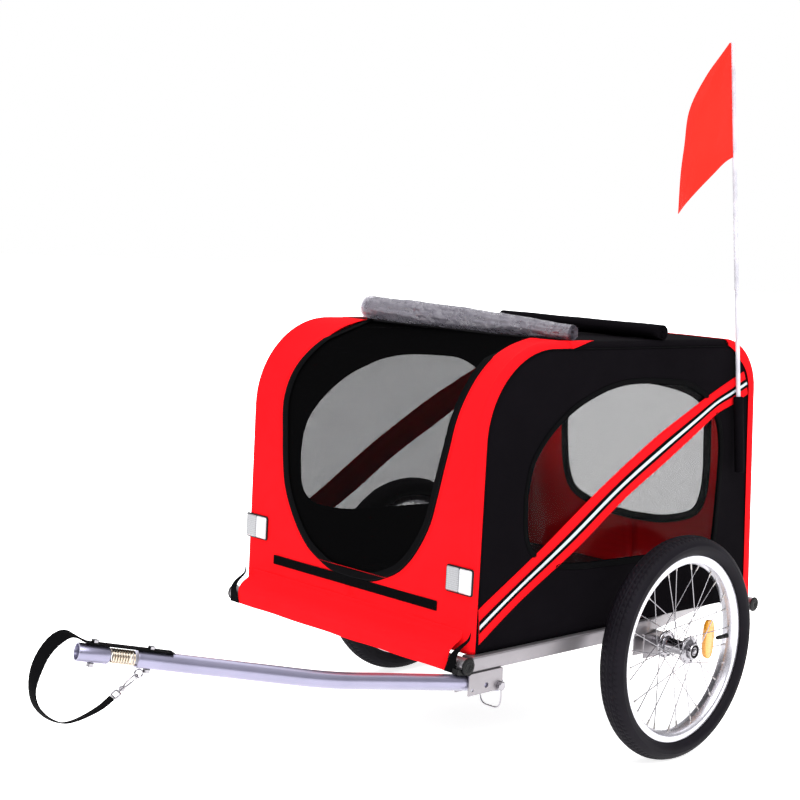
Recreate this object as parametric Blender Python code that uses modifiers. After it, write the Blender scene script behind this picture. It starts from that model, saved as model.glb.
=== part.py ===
"""Child bike trailer with a fabric cabin, a folding tow bar and a flag.

All lengths are metres. While the trailer is built, X points forward from the axle, Y points to
its left and Z is the height over the ground. The last step moves the whole trailer so that the
origin lies under the middle of its bounding box.
"""
from math import atan2, cos, pi, radians, sin, sqrt, tan

import bmesh
import bpy
from mathutils import Matrix, Vector

# Clearance between pieces that touch
GAP = 0.0003

# Wheels
TYRE_RADIUS = 0.200
TYRE_HEIGHT = 0.0338
TYRE_WIDTH = 0.050
RIM_RADIUS = TYRE_RADIUS - TYRE_HEIGHT
RIM_HEIGHT = 0.0176
RIM_INNER_RADIUS = RIM_RADIUS - RIM_HEIGHT
RIM_SHOULDER = 0.006
RIM_WIDTH = 0.030
RIM_WELL_DEPTH = 0.0066
RIM_LIP = 0.0014
HUB_INNER_END = 0.032
HUB_OUTER_END = 0.038
HUB_FLANGE_RADIUS = 0.0245
HUB_FLANGE_THICKNESS = 0.004
HUB_BARREL_RADIUS = 0.0130
HUB_END_WALL = 0.0045
HUB_OUTER_FLANGE_INSET = 0.013
HUB_INNER_FLANGE_INSET = 0.004
HUB_FILLET = 0.0015
SPOKES = 28
SPOKE_RADIUS = 0.0009
SPOKE_LACING = 6
SPOKE_HOLE_INSET = 0.003
SPOKE_RIM_CLEARANCE = 0.0005
SPOKE_RIM_OFFSET = 0.003
SPOKE_HUB_STAGGER = 0.0012
SPOKE_RIM_STAGGER = 0.0016
REFLECTOR_SIZE = (0.027, 0.072, 0.0108)
REFLECTOR_BELOW_RIM = 0.053
REFLECTOR_RADIUS = RIM_INNER_RADIUS - REFLECTOR_BELOW_RIM
REFLECTOR_INSET = 0.005
VALVE_LENGTH = 0.031
VALVE_RADIUS = 0.004
VALVE_CAP = (0.008, 0.026)
WHEEL_STEPS = 48

# Stub axles and their brackets
AXLE_RADIUS = 0.006
AXLE_COLLAR_RADIUS = 0.010
AXLE_COLLAR = 0.006
EDGE = 0.001
AXLE_BRACKET_LENGTH = 0.050
AXLE_BRACKET_FRONT = 0.030
AXLE_BRACKET_BELOW = 0.028
AXLE_BRACKET_BOTTOM = TYRE_RADIUS - AXLE_BRACKET_BELOW
SHEET = 0.0025

# Frame
RAIL_SIZE = 0.025
RAIL_ABOVE_AXLE = 0.028
RAIL_HEIGHT = TYRE_RADIUS + RAIL_ABOVE_AXLE
RAIL_OUTER_FACE = 0.298
HUB_BESIDE_RAIL = 0.019
WHEEL_TRACK = 2 * (RAIL_OUTER_FACE + HUB_BESIDE_RAIL + HUB_INNER_END)
RAIL_BEND_X = 0.024
RAIL_BEND_ANGLE = radians(15)
RAIL_BEND_RADIUS = 0.060
RAIL_EDGE = 0.003
CROSS_TUBE_RADIUS = 0.0125
CROSS_TUBE_WALL = 0.0015
CROSS_TUBE_HALF = RAIL_OUTER_FACE
FRONT_TUBE_X = 0.486
REAR_TUBE_X = -0.308
FRAME_TOP = RAIL_HEIGHT + max(RAIL_SIZE / 2, CROSS_TUBE_RADIUS)
CAP_BRIM = 0.0015
CAP_RADIUS = CROSS_TUBE_RADIUS + CAP_BRIM
CAP_THICKNESS = 0.0025
CAP_PLUG = 0.010
TUBE_BUTTON_INSET = 0.0177
TUBE_BUTTON_Y = CROSS_TUBE_HALF - TUBE_BUTTON_INSET
BUTTON_RADIUS = 0.0042
BUTTON_BASE = 0.0045
BUTTON_RISE = 0.002
BUTTON_CROWN = (0.0004, 0.0018)

# Tow bracket, lock pin and tow bar
BAR_RADIUS = 0.0127
BAR_UNDER_TUBE = 0.0158
PIN_BEHIND_TUBE = 0.0735
PIN_X = FRONT_TUBE_X - PIN_BEHIND_TUBE
PIN_Z = RAIL_HEIGHT - CROSS_TUBE_RADIUS - BAR_RADIUS - BAR_UNDER_TUBE
BRACKET_ROUND_PIN = 0.007
BRACKET_BEHIND_TUBE = 0.0022
BRACKET_REAR = PIN_X - BRACKET_ROUND_PIN
BRACKET_FRONT = FRONT_TUBE_X - BRACKET_BEHIND_TUBE
BRACKET_BOTTOM = PIN_Z - BRACKET_ROUND_PIN
PIN_RADIUS = 0.004
PIN_HEAD_RADIUS = 0.0075
PIN_HEAD = 0.0072
PIN_TAIL = 0.0125
PIN_TIP = 0.002
BAIL_DROP = 0.038
BAIL_WIRE = 0.0013
BAIL_IN_HEAD = 0.0042
BAIL_IN_TAIL = 0.0030
BAIL_BEND = 0.010
EMPTY_HOLE_PLACE = (0.0627, 0.0018)
EMPTY_HOLE = (PIN_X + EMPTY_HOLE_PLACE[0], PIN_Z + EMPTY_HOLE_PLACE[1])
EMPTY_HOLE_RADIUS = 0.003
BAR_BORE = 0.0105
BAR_BORE_DEPTH = 0.062
BAR_BEND_PLACE = (0.3541, 0.0613)
BAR_BEND = (PIN_X + BAR_BEND_PLACE[0], PIN_Z + BAR_BEND_PLACE[1])
BAR_FRONT_YAW = radians(-15.37)
BAR_FRONT_RISE = radians(11.1)
BAR_BEND_LENGTH = 0.05
BAR_BUTTON_ALONG = 0.031
BAR_BUTTON_CROWN = (0.0003, 0.0012)
SPRING_START = 0.301
SPRING_END = 0.342
SPRING_RADIUS = 0.0088
SPRING_WIRE = 0.0015
SPRING_TURNS = 9
COUPLER_LENGTH = 0.064
COUPLER_BORE_DEPTH = 0.045
REAR_BOLT = 0.2816
FRONT_BOLT = 0.363
BOLT_RADIUS = 0.003
BOLT_HEAD_RADIUS = 0.0055
BOLT_HEAD = 0.004
NUT = 0.005
EYE_RADIUS = 0.0058
EYE_WIRE = 0.0014
EYE_AHEAD = 0.0105
STRAP_WIDTH = 0.015
STRAP_THICKNESS = 0.0018
STRAP_LIFT = 0.0004
STRAP_FLAT = BAR_RADIUS + STRAP_LIFT + STRAP_THICKNESS / 2
STRAP_RING_CLEARANCE = 0.0008
HOOK_LENGTH = 0.034
HOOK_WIDTH = 0.012
HOOK_WIRE = 0.0015
HOOK_HANG = (0.632, -0.775)
STRAP_RING_LENGTH = 0.009
STRAP_RING_WIDTH = 0.020
BUMPER_LENGTH = 0.020
BUMPER_WIDTH = 0.0115
BUMPER_HEIGHT = 0.0085
BUMPER_AHEAD = 0.0145
BUMPER_CLEARANCE = 0.0008
BUMPER_BESIDE_BUTTON = 0.0008

# Cabin, as seen from the side
CABIN_INSIDE_RAIL = 0.011
CABIN_HALF_WIDTH = RAIL_OUTER_FACE - CABIN_INSIDE_RAIL
CABIN_BEHIND_TUBE = 0.016
CABIN_FRONT = FRONT_TUBE_X - CABIN_BEHIND_TUBE
CABIN_HEIGHT = 0.510
CABIN_TOP = RAIL_HEIGHT + CABIN_HEIGHT
FRONT_ARC = 0.160
REAR_ARC = 0.100
REAR_ARC_AHEAD = 0.130
REAR_ARC_X = REAR_TUBE_X + REAR_ARC_AHEAD
REAR_FOOT_BEHIND = 0.003
REAR_BOTTOM_X = REAR_TUBE_X - REAR_FOOT_BEHIND
CABIN_CLEARANCE = 0.0007
CABIN_BOTTOM = FRAME_TOP + CABIN_CLEARANCE
CORNER = 0.012
SEAM = 0.0008
FABRIC = 0.0015
NET = 0.0008
SIDE_FABRIC = 0.0012
WINDOW_FILM = 0.0006
FLOOR_THICKNESS = 0.006
FLOOR_REAR_CLEARANCE = 0.0015
FLOOR_CORNER = CORNER + 0.002
HOOP_RADIUS = 0.004
HOOP_CLEARANCE = 0.002
LAP = 0.006
ROOF_BEHIND_FRONT = 0.202
ROOF_FRONT_X = CABIN_FRONT - ROOF_BEHIND_FRONT
FLAP_INSET = 0.019
FLAP_HALF_WIDTH = CABIN_HALF_WIDTH - FLAP_INSET
BAND_THICKNESS = 0.001

# Front flap: its top ahead of the front panel, and its way over the front tube ahead of the
# tube's front, both with their height over the rails' middle
FLAP_TOP = ((0.0018, 0.040), (0.008, 0.0345))
FLAP_OVER_TUBE = ((-0.006, 0.026), (0.002, 0.016), (0.003, 0.002), (0.0025, -0.022))

def raised(points, height):
    """Points of height and half width, raised."""
    return tuple((height + z, width) for z, width in points)


def placed_at(points, x, height):
    """Outline points of the side view, moved forward and raised."""
    return tuple((x + ahead, height + z) for ahead, z in points)


# Height and half width of the two netted openings: the lower points are measured
# from the rails' middle, and the upper ones from the cabin's top
FRONT_OPENING = (
    *raised((
        (0.085, 0.0), (0.089, 0.05), (0.102, 0.085), (0.118, 0.115), (0.144, 0.142),
        (0.177, 0.165), (0.212, 0.182), (0.252, 0.192), (0.302, 0.201),
    ), RAIL_HEIGHT),
    *raised((
        (-0.154, 0.21), (-0.088, 0.213), (-0.048, 0.21), (-0.018, 0.205),
    ), CABIN_TOP),
)
REAR_OPENING = (
    *raised((
        (0.13, 0.0), (0.134, 0.07), (0.148, 0.125), (0.164, 0.155), (0.197, 0.17),
        (0.242, 0.176), (0.302, 0.177), (0.352, 0.176),
    ), RAIL_HEIGHT),
    *raised((
        (-0.133, 0.165), (-0.116, 0.13), (-0.107, 0.07), (-0.104, 0.0),
    ), CABIN_TOP),
)

# Outline of the clear side window, X and Z, measured from the cabin's nearer end
SIDE_WINDOW = (
    *placed_at((
        (-0.111, 0.257), (-0.116, 0.2), (-0.128, 0.172), (-0.158, 0.148), (-0.211, 0.135),
        (-0.276, 0.128),
    ), CABIN_FRONT, RAIL_HEIGHT),
    *placed_at((
        (0.223, 0.124), (0.098, 0.12), (0.018, 0.117), (0.002, 0.132), (-0.003, 0.28),
        (0.004, 0.337),
    ), REAR_ARC_X, RAIL_HEIGHT),
    *placed_at((
        (0.021, -0.138), (0.053, -0.106), (0.088, -0.088), (0.129, -0.076), (0.214, -0.07),
    ), REAR_ARC_X, CABIN_TOP),
    *placed_at((
        (-0.365, -0.07), (-0.31, -0.078), (-0.263, -0.092), (-0.222, -0.109),
        (-0.183, -0.133), (-0.15, -0.161), (-0.123, -0.197), (-0.114, -0.233),
    ), CABIN_FRONT, CABIN_TOP),
)

# Diagonal band, its upper and its lower edge, X and Z
BAND_UPPER = (
    *placed_at((
        (-0.012, 0.085), (-0.035, 0.099), (-0.156, 0.169), (-0.306, 0.263),
    ), CABIN_FRONT, RAIL_HEIGHT),
    *placed_at((
        (0.208, -0.173), (0.122, -0.133), (0.045, -0.099), (-0.007, -0.078), (-0.054, -0.06),
    ), REAR_ARC_X, CABIN_TOP),
)
BAND_LOWER = (
    *placed_at((
        (-0.073, -0.103), (-0.025, -0.121), (0.022, -0.136), (0.081, -0.169),
        (0.173, -0.219),
    ), REAR_ARC_X, CABIN_TOP),
    *placed_at((
        (-0.365, 0.234), (-0.246, 0.16), (-0.113, 0.089), (-0.017, 0.028),
    ), CABIN_FRONT, RAIL_HEIGHT),
)

# Rolls on the roof
CLEAR_ROLL_BEHIND = (0.200, 0.208, 0.218)
CLEAR_ROLL_RADII = (0.0225, 0.0195, 0.0130)
CLEAR_ROLL_INSETS = (0.109, 0.017)
CLEAR_ROLL_ENDS = (
    -CABIN_HALF_WIDTH + CLEAR_ROLL_INSETS[0],
    CABIN_HALF_WIDTH - CLEAR_ROLL_INSETS[1],
)
COVER_ROLL_BEHIND = 0.455
COVER_ROLL_X = CABIN_FRONT - COVER_ROLL_BEHIND
COVER_ROLL_RADIUS = 0.0133
COVER_ROLL_INSETS = (0.187, 0.007)
COVER_ROLL_ENDS = (
    -CABIN_HALF_WIDTH + COVER_ROLL_INSETS[0],
    CABIN_HALF_WIDTH - COVER_ROLL_INSETS[1],
)

# Things on the front panel
STRIP_SIZE = (0.0015, 0.416, 0.0165)
STRIP_ABOVE_RAIL = 0.077
STRIP_HEIGHT = RAIL_HEIGHT + STRIP_ABOVE_RAIL
FRONT_REFLECTOR_SIZE = (0.004, 0.058, 0.042)
FRONT_REFLECTOR_INSET = 0.030
FRONT_REFLECTOR_ABOVE_RAIL = 0.129
FRONT_REFLECTOR_AT = (
    CABIN_HALF_WIDTH - FRONT_REFLECTOR_INSET, RAIL_HEIGHT + FRONT_REFLECTOR_ABOVE_RAIL
)

# Flag
SLEEVE_LENGTH = 0.140
SLEEVE_RADIUS = 0.0090
SLEEVE_CLEARANCE = 0.0004
SLEEVE_BEHIND_ARC = 0.028
SLEEVE_BELOW_TOP = 0.106
SLEEVE_TOP = (
    REAR_ARC_X - SLEEVE_BEHIND_ARC,
    CABIN_HALF_WIDTH + GAP + BAND_THICKNESS + SLEEVE_CLEARANCE + SLEEVE_RADIUS,
    CABIN_TOP - SLEEVE_BELOW_TOP,
)
SLEEVE_FLOOR = 0.010
POLE_RADIUS = 0.004
POLE_TIP = 0.002
POLE_REACH = (0.040, -0.0414, 0.6445)
POLE_TOP = tuple(start + reach for start, reach in zip(SLEEVE_TOP, POLE_REACH))
PENNANT_HEIGHT = 0.205
PENNANT_THICKNESS = 0.0012
PENNANT_FLY = (
    (0.000, 0.000), (0.064, 0.064), (0.111, 0.133), (0.121, 0.200), (0.128, 0.270),
    (0.131, 0.3135),
)
PENNANT_FOLD = 0.012
PENNANT_DROOP = 0.008
PENNANT_BELOW_TIP = 0.003
PENNANT_HEM = 0.004

# Strap path in the frame of the bar's front part: along the bar, and above its axis
STRAP_PATH = (
    (0.249, STRAP_FLAT), (0.372, STRAP_FLAT), (0.382, 0.0170), (0.392, 0.0208), (0.403, 0.0220),
    (0.414, 0.0160), (0.4240, 0.0035), (0.4315, -0.0140), (0.4352, -0.0360),
    (0.4340, -0.0574), (0.4262, -0.0755), (0.4130, -0.0880), (0.3985, -0.0950),
    (0.3835, -0.0977), (0.3680, -0.0935), (0.3500, -0.0830), (0.3340, -0.0705),
)

PARTS = None
CUTTERS = None


def clear_scene():
    for obj in list(bpy.data.objects):
        bpy.data.objects.remove(obj)


def new_collection(name):
    collection = bpy.data.collections.new(name)
    bpy.context.scene.collection.children.link(collection)
    return collection


def make_material(name, colour, roughness, metallic=0.0, alpha=1.0):
    material = bpy.data.materials.new(name)
    material.use_nodes = True
    shader = material.node_tree.nodes["Principled BSDF"]
    shader.inputs["Base Color"].default_value = (*colour, 1.0)
    shader.inputs["Roughness"].default_value = roughness
    shader.inputs["Metallic"].default_value = metallic
    shader.inputs["Alpha"].default_value = alpha
    return material


def make_materials():
    return {
        "red": make_material("red fabric", (0.80, 0.02, 0.02), 0.75),
        "black": make_material("black fabric", (0.015, 0.015, 0.016), 0.8),
        "net": make_material("black net", (0.03, 0.03, 0.03), 0.9, 0.0, 0.5),
        "film": make_material("clear film", (0.75, 0.80, 0.85), 0.1, 0.0, 0.3),
        "steel": make_material("silver paint", (0.52, 0.50, 0.52), 0.35, 0.7),
        "bright": make_material("bright steel", (0.75, 0.75, 0.75), 0.2, 1.0),
        "plastic": make_material("black plastic", (0.02, 0.02, 0.02), 0.5),
        "rubber": make_material("tyre rubber", (0.02, 0.02, 0.02), 0.85),
        "amber": make_material("amber reflector", (0.95, 0.35, 0.02), 0.25),
        "grey": make_material("grey reflector", (0.75, 0.75, 0.75), 0.3),
        "orange": make_material("orange flag", (0.95, 0.08, 0.02), 0.7),
        "white": make_material("white pole", (0.85, 0.83, 0.85), 0.4),
    }


def new_empty(name, parent=None, location=(0, 0, 0), rotation=(0, 0, 0)):
    empty = bpy.data.objects.new(name, None)
    PARTS.objects.link(empty)
    empty.parent = parent
    empty.location = location
    empty.rotation_euler = rotation
    return empty


def add_object(name, data, material, parent, location=(0, 0, 0), rotation=(0, 0, 0)):
    obj = bpy.data.objects.new(name, data)
    PARTS.objects.link(obj)
    obj.parent = parent
    obj.location = location
    obj.rotation_euler = rotation
    if material is not None:
        data.materials.append(material)
    return obj


def mesh_from(bm, name, smooth_angle=radians(35)):
    mesh = bpy.data.meshes.new(name)
    bm.to_mesh(mesh)
    bm.free()
    mesh.shade_smooth()
    mesh.set_sharp_from_angle(angle=smooth_angle)
    return mesh


def add_box(name, size, material, parent, location, rotation=(0, 0, 0), bevel=0.0):
    bm = bmesh.new()
    bmesh.ops.create_cube(bm, size=1.0, matrix=Matrix.Diagonal((*size, 1.0)))
    obj = add_object(name, mesh_from(bm, name), material, parent, location, rotation)
    if bevel > 0:
        modifier = obj.modifiers.new("rounded edges", "BEVEL")
        modifier.width = bevel
        modifier.segments = 2
    return obj


def add_cylinder(name, radius, length, parent, location, rotation=(0, 0, 0), sides=16):
    bm = bmesh.new()
    bmesh.ops.create_cone(
        bm, cap_ends=True, segments=sides, radius1=radius, radius2=radius, depth=length
    )
    return add_object(name, mesh_from(bm, name), None, parent, location, rotation)


def add_turned(name, profile, material, parent, location=(0, 0, 0), rotation=(0, 0, 0),
               steps=24, closed=False):
    """Profile points are radius and height, from the top down the outer side."""
    bm = bmesh.new()
    verts = [bm.verts.new((radius, 0.0, height)) for radius, height in profile]
    for first, second in zip(verts, verts[1:]):
        bm.edges.new((first, second))
    if closed:
        bm.edges.new((verts[-1], verts[0]))
    obj = add_object(name, mesh_from(bm, name), material, parent, location, rotation)
    modifier = obj.modifiers.new("turn", "SCREW")
    modifier.axis = "Z"
    modifier.angle = 2 * pi
    modifier.steps = steps
    modifier.render_steps = steps
    modifier.use_merge_vertices = True
    modifier.merge_threshold = 0.00001
    modifier.use_smooth_shade = True
    return obj


def add_tube(name, points, radius, material, parent, location=(0, 0, 0),
             rotation=(0, 0, 0), cyclic=False, resolution=2, radii=None):
    curve = bpy.data.curves.new(name, "CURVE")
    curve.dimensions = "3D"
    curve.bevel_depth = radius
    curve.bevel_resolution = resolution
    curve.use_fill_caps = not cyclic
    spline = curve.splines.new("POLY")
    spline.points.add(len(points) - 1)
    for index, point in enumerate(points):
        spline.points[index].co = (*point, 1.0)
        if radii:
            spline.points[index].radius = radii[index] / radius
    spline.use_cyclic_u = cyclic
    return add_object(name, curve, material, parent, location, rotation)


def add_plate(name, outlines, thickness, material, parent, location, rotation):
    curve = bpy.data.curves.new(name, "CURVE")
    curve.dimensions = "2D"
    curve.fill_mode = "BOTH"
    curve.extrude = thickness / 2
    for outline in outlines:
        spline = curve.splines.new("POLY")
        spline.points.add(len(outline) - 1)
        for index, (x, y) in enumerate(outline):
            spline.points[index].co = (x, y, 0.0, 1.0)
        spline.use_cyclic_u = True
    return add_object(name, curve, material, parent, location, rotation)


def as_mesh(obj):
    """Turn a curve object into a welded mesh object of the same name and place."""
    graph = bpy.context.evaluated_depsgraph_get()
    mesh = bpy.data.meshes.new_from_object(obj.evaluated_get(graph))
    bm = bmesh.new()
    bm.from_mesh(mesh)
    bmesh.ops.remove_doubles(bm, verts=bm.verts, dist=0.00001)
    bm.to_mesh(mesh)
    bm.free()
    name = obj.name
    solid = bpy.data.objects.new(name, mesh)
    for collection in obj.users_collection:
        collection.objects.link(solid)
    solid.parent = obj.parent
    solid.location = obj.location
    solid.rotation_euler = obj.rotation_euler
    bpy.data.objects.remove(obj)
    solid.name = name
    return solid


def as_cutter(obj):
    for collection in list(obj.users_collection):
        collection.objects.unlink(obj)
    CUTTERS.objects.link(obj)
    obj.hide_render = True
    obj.display_type = "WIRE"
    return obj


def combine(obj, other, operation):
    modifier = obj.modifiers.new(other.name, "BOOLEAN")
    modifier.operation = operation
    modifier.object = as_cutter(other)


def cut(obj, cutter):
    combine(obj, cutter, "DIFFERENCE")


def unite(obj, other):
    combine(obj, other, "UNION")


def interpolate(table, value):
    """Read a table of pairs between its entries, and hold its ends."""
    if value <= table[0][0]:
        return table[0][1]
    for (x0, y0), (x1, y1) in zip(table, table[1:]):
        if value <= x1:
            return y0 + (y1 - y0) * (value - x0) / (x1 - x0)
    return table[-1][1]


def smooth_path(points, count):
    """Catmull-Rom curve through the points, read at an even step of its parameter."""
    path = [Vector(point) for point in points]
    path = [2 * path[0] - path[1], *path, 2 * path[-1] - path[-2]]
    spans = len(path) - 3
    result = []
    for index in range(count):
        place = index / (count - 1) * spans
        span = min(int(place), spans - 1)
        t = place - span
        before, start, end, after = path[span:span + 4]
        result.append(0.5 * (
            2 * start
            + (end - before) * t
            + (2 * before - 5 * start + 4 * end - after) * t ** 2
            + (3 * start - before - 3 * end + after) * t ** 3
        ))
    return result


def grow_outline(outline, distance):
    """Move each point of a closed outline outwards along the normal of its neighbours."""
    area = 0.0
    count = len(outline)
    for index in range(count):
        x0, y0 = outline[index]
        x1, y1 = outline[(index + 1) % count]
        area += x0 * y1 - x1 * y0
    turn = 1.0 if area > 0 else -1.0
    grown = []
    for index in range(count):
        before = Vector(outline[index - 1])
        after = Vector(outline[(index + 1) % count])
        along = (after - before).normalized()
        grown.append((
            outline[index][0] + turn * distance * along.y,
            outline[index][1] - turn * distance * along.x,
        ))
    return grown


def arc_points(centre, radius, start, end, count):
    points = []
    for index in range(count):
        angle = start + (end - start) * index / (count - 1)
        points.append((centre[0] + radius * cos(angle), centre[1] + radius * sin(angle)))
    return points


class Station:
    """A place on the cabin's side profile with the direction that points inwards."""

    def __init__(self, x, z, inward_x, inward_z):
        self.x = x
        self.z = z
        self.inward = (inward_x, inward_z)

    def inset(self, distance):
        return (self.x + self.inward[0] * distance, self.z + self.inward[1] * distance)


# Further rows of the panels: over the rails' middle, and under the front arc
FRONT_ROWS = (0.042, 0.067)
FRONT_ROW_BELOW_ARC = 0.083
REAR_ROW = 0.072
FRONT_ARC_CENTRE = (CABIN_FRONT - FRONT_ARC, CABIN_TOP - FRONT_ARC)
REAR_ARC_CENTRE = (REAR_ARC_X, CABIN_TOP - REAR_ARC)


def front_stations():
    heights = [CABIN_BOTTOM] + [RAIL_HEIGHT + above for above in FRONT_ROWS]
    heights += [z for z, width in FRONT_OPENING if z < FRONT_ARC_CENTRE[1]]
    heights += [FRONT_ARC_CENTRE[1] - FRONT_ROW_BELOW_ARC, FRONT_ARC_CENTRE[1]]
    stations = [Station(CABIN_FRONT, z, -1.0, 0.0) for z in sorted(heights)]
    for degrees in (12, 24, 36, 48, 60, 72, 81, 90):
        angle = radians(degrees)
        x = FRONT_ARC_CENTRE[0] + FRONT_ARC * cos(angle)
        z = FRONT_ARC_CENTRE[1] + FRONT_ARC * sin(angle)
        stations.append(Station(x, z, -cos(angle), -sin(angle)))
    stations.append(Station(ROOF_FRONT_X + GAP, CABIN_TOP, 0.0, -1.0))
    return stations


def roof_stations():
    end = REAR_ARC_X + GAP
    places = [ROOF_FRONT_X + (end - ROOF_FRONT_X) * index / 3 for index in range(4)]
    return [Station(x, CABIN_TOP, 0.0, -1.0) for x in places]


def rear_stations():
    stations = []
    for degrees in (90, 75, 60, 45, 30, 15, 0):
        angle = radians(degrees)
        x = REAR_ARC_CENTRE[0] - REAR_ARC * cos(angle)
        z = REAR_ARC_CENTRE[1] + REAR_ARC * sin(angle)
        stations.append(Station(x, z, cos(angle), -sin(angle)))
    top_x = REAR_ARC_CENTRE[0] - REAR_ARC
    top_z = REAR_ARC_CENTRE[1]
    lean = (top_x - REAR_BOTTOM_X) / (top_z - CABIN_BOTTOM)
    length = sqrt(1 + lean ** 2)
    heights = [z for z, width in REAR_OPENING] + [RAIL_HEIGHT + REAR_ROW, CABIN_BOTTOM]
    for z in sorted(heights, reverse=True):
        x = top_x - lean * (top_z - z)
        stations.append(Station(x, z, 1 / length, -lean / length))
    return stations


def profile_stations():
    """The corners of the side profile: front, front arc, rear arc and rear foot."""
    front = front_stations()
    rear = rear_stations()
    return front[:1] + front[-10:] + rear[:7] + rear[-1:]


def profile_outline(inset):
    """The cabin's closed side outline, drawn in by a distance."""
    outline = [station.inset(inset) for station in profile_stations()]
    bottom = FRAME_TOP + GAP
    first = (outline[0][0], bottom)
    last = (outline[-1][0], bottom)
    return [first, *outline[1:-1], last]


def corner_columns(side):
    """Columns that carry a panel round the cabin's long edge on to its side."""
    flat = CABIN_HALF_WIDTH - CORNER
    columns = []
    for degrees in (30, 60, 90):
        angle = radians(degrees)
        columns.append((side * (flat + CORNER * sin(angle)), CORNER * (1 - cos(angle))))
    return columns


def grid_faces(bm, rows, flip=False):
    for lower, upper in zip(rows, rows[1:]):
        for index in range(len(lower) - 1):
            corners = [lower[index], lower[index + 1], upper[index + 1], upper[index]]
            if flip:
                corners.reverse()
            if len(set(corners)) == 4:
                bm.faces.new(corners)


def skin_rows(bm, stations, columns_of, inset):
    rows = []
    for station in stations:
        row = []
        for y, drawn_in in columns_of(station):
            x, z = station.inset(drawn_in + inset)
            row.append(bm.verts.new((x, y, z)))
        rows.append(row)
    return rows


def finish_skin(bm, name, thickness, material, parent):
    bmesh.ops.remove_doubles(bm, verts=bm.verts, dist=0.00001)
    obj = add_object(name, mesh_from(bm, name, radians(50)), material, parent)
    modifier = obj.modifiers.new("thickness", "SOLIDIFY")
    modifier.thickness = thickness
    modifier.offset = -1.0
    modifier.use_even_offset = False
    return obj


def add_skin(name, stations, half_width_of, columns, thickness, inset, material, parent):
    """A sheet that follows the side profile, with evenly spread columns."""
    bm = bmesh.new()

    def columns_of(station):
        half = half_width_of(station)
        return [(half * (2 * i / (columns - 1) - 1), 0.0) for i in range(columns)]

    grid_faces(bm, skin_rows(bm, stations, columns_of, inset))
    return finish_skin(bm, name, thickness, material, parent)


def add_open_panel(name, stations, opening, material, parent):
    """A cabin panel with a netted opening in its middle, wrapped round both long edges."""
    bm = bmesh.new()
    flat = CABIN_HALF_WIDTH - CORNER
    for side in (-1, 1):

        def columns_of(station):
            width = interpolate(opening, station.z)
            if opening[-1][1] == 0.0 and station.z > opening[-1][0]:
                width = 0.0
            middle = (width + flat) / 2
            columns = [(side * y, 0.0) for y in (width, middle, flat)]
            return columns + corner_columns(side)

        grid_faces(bm, skin_rows(bm, stations, columns_of, 0.0), flip=side < 0)
    return finish_skin(bm, name, FABRIC, material, parent)


def add_roof_panel(material, parent):
    bm = bmesh.new()
    flat = CABIN_HALF_WIDTH - CORNER

    def columns_of(station):
        left = [(flat, 0.0)] + corner_columns(1)
        right = [(-flat, 0.0)] + corner_columns(-1)
        return right[::-1] + [(0.0, 0.0)] + left

    grid_faces(bm, skin_rows(bm, roof_stations(), columns_of, 0.0))
    return finish_skin(bm, "roof_panel", FABRIC, material, parent)


def build_wheel(name, side, materials, root):
    """One wheel, turned about its own Z axis, which points away from the trailer."""
    axis = new_empty(
        name + "_axis", root, (0, side * WHEEL_TRACK / 2, TYRE_RADIUS), (-side * pi / 2, 0, 0)
    )
    build_tyre(name, materials, axis)
    build_rim(name, materials, axis)
    build_hub(name, materials, axis)
    add_box(
        name + "_spoke_reflector", REFLECTOR_SIZE, materials["amber"], axis,
        (-REFLECTOR_RADIUS, -side * REFLECTOR_INSET, 0), bevel=2 * EDGE
    )
    add_turned(
        name + "_valve",
        ((0, VALVE_LENGTH), (VALVE_RADIUS * 0.7, VALVE_LENGTH), (VALVE_RADIUS, VALVE_CAP[1]),
         (VALVE_RADIUS, VALVE_CAP[0]), (VALVE_RADIUS * 0.8, VALVE_CAP[0] - EDGE),
         (VALVE_RADIUS * 0.8, 0), (0, 0)),
        materials["plastic"], axis, (-RIM_INNER_RADIUS + GAP * 2, 0, 0), (0, pi / 2, 0), steps=12
    )
    return axis


def build_tyre(name, materials, axis):
    half = TYRE_WIDTH / 2
    crown = TYRE_RADIUS
    well_half = RIM_WIDTH / 2 - RIM_LIP - GAP
    bead = RIM_RADIUS + GAP
    base = RIM_RADIUS - RIM_WELL_DEPTH + GAP
    wall = crown - RIM_RADIUS
    upper = [
        (bead, well_half), (bead, half * 0.83), (bead + wall * 0.40, half),
        (bead + wall * 0.75, half * 0.88), (crown - wall * 0.05, half * 0.50), (crown, 0),
    ]
    lower = [(radius, -height) for radius, height in reversed(upper[:-1])]
    profile = upper + lower + [(base, -well_half), (base, well_half)]
    add_turned(name + "_tyre", profile, materials["rubber"], axis, steps=WHEEL_STEPS,
               closed=True)


def build_rim(name, materials, axis):
    half = RIM_WIDTH / 2
    lip = half - RIM_LIP
    floor = RIM_RADIUS - RIM_WELL_DEPTH
    shoulder = RIM_INNER_RADIUS + RIM_SHOULDER
    profile = (
        (RIM_RADIUS, half), (RIM_RADIUS, lip), (floor, lip), (floor, -lip),
        (RIM_RADIUS, -lip), (RIM_RADIUS, -half), (shoulder, -half),
        (RIM_INNER_RADIUS, -half * 0.6), (RIM_INNER_RADIUS, half * 0.6), (shoulder, half),
    )
    add_turned(name + "_rim", profile, materials["bright"], axis, steps=WHEEL_STEPS,
               closed=True)


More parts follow.
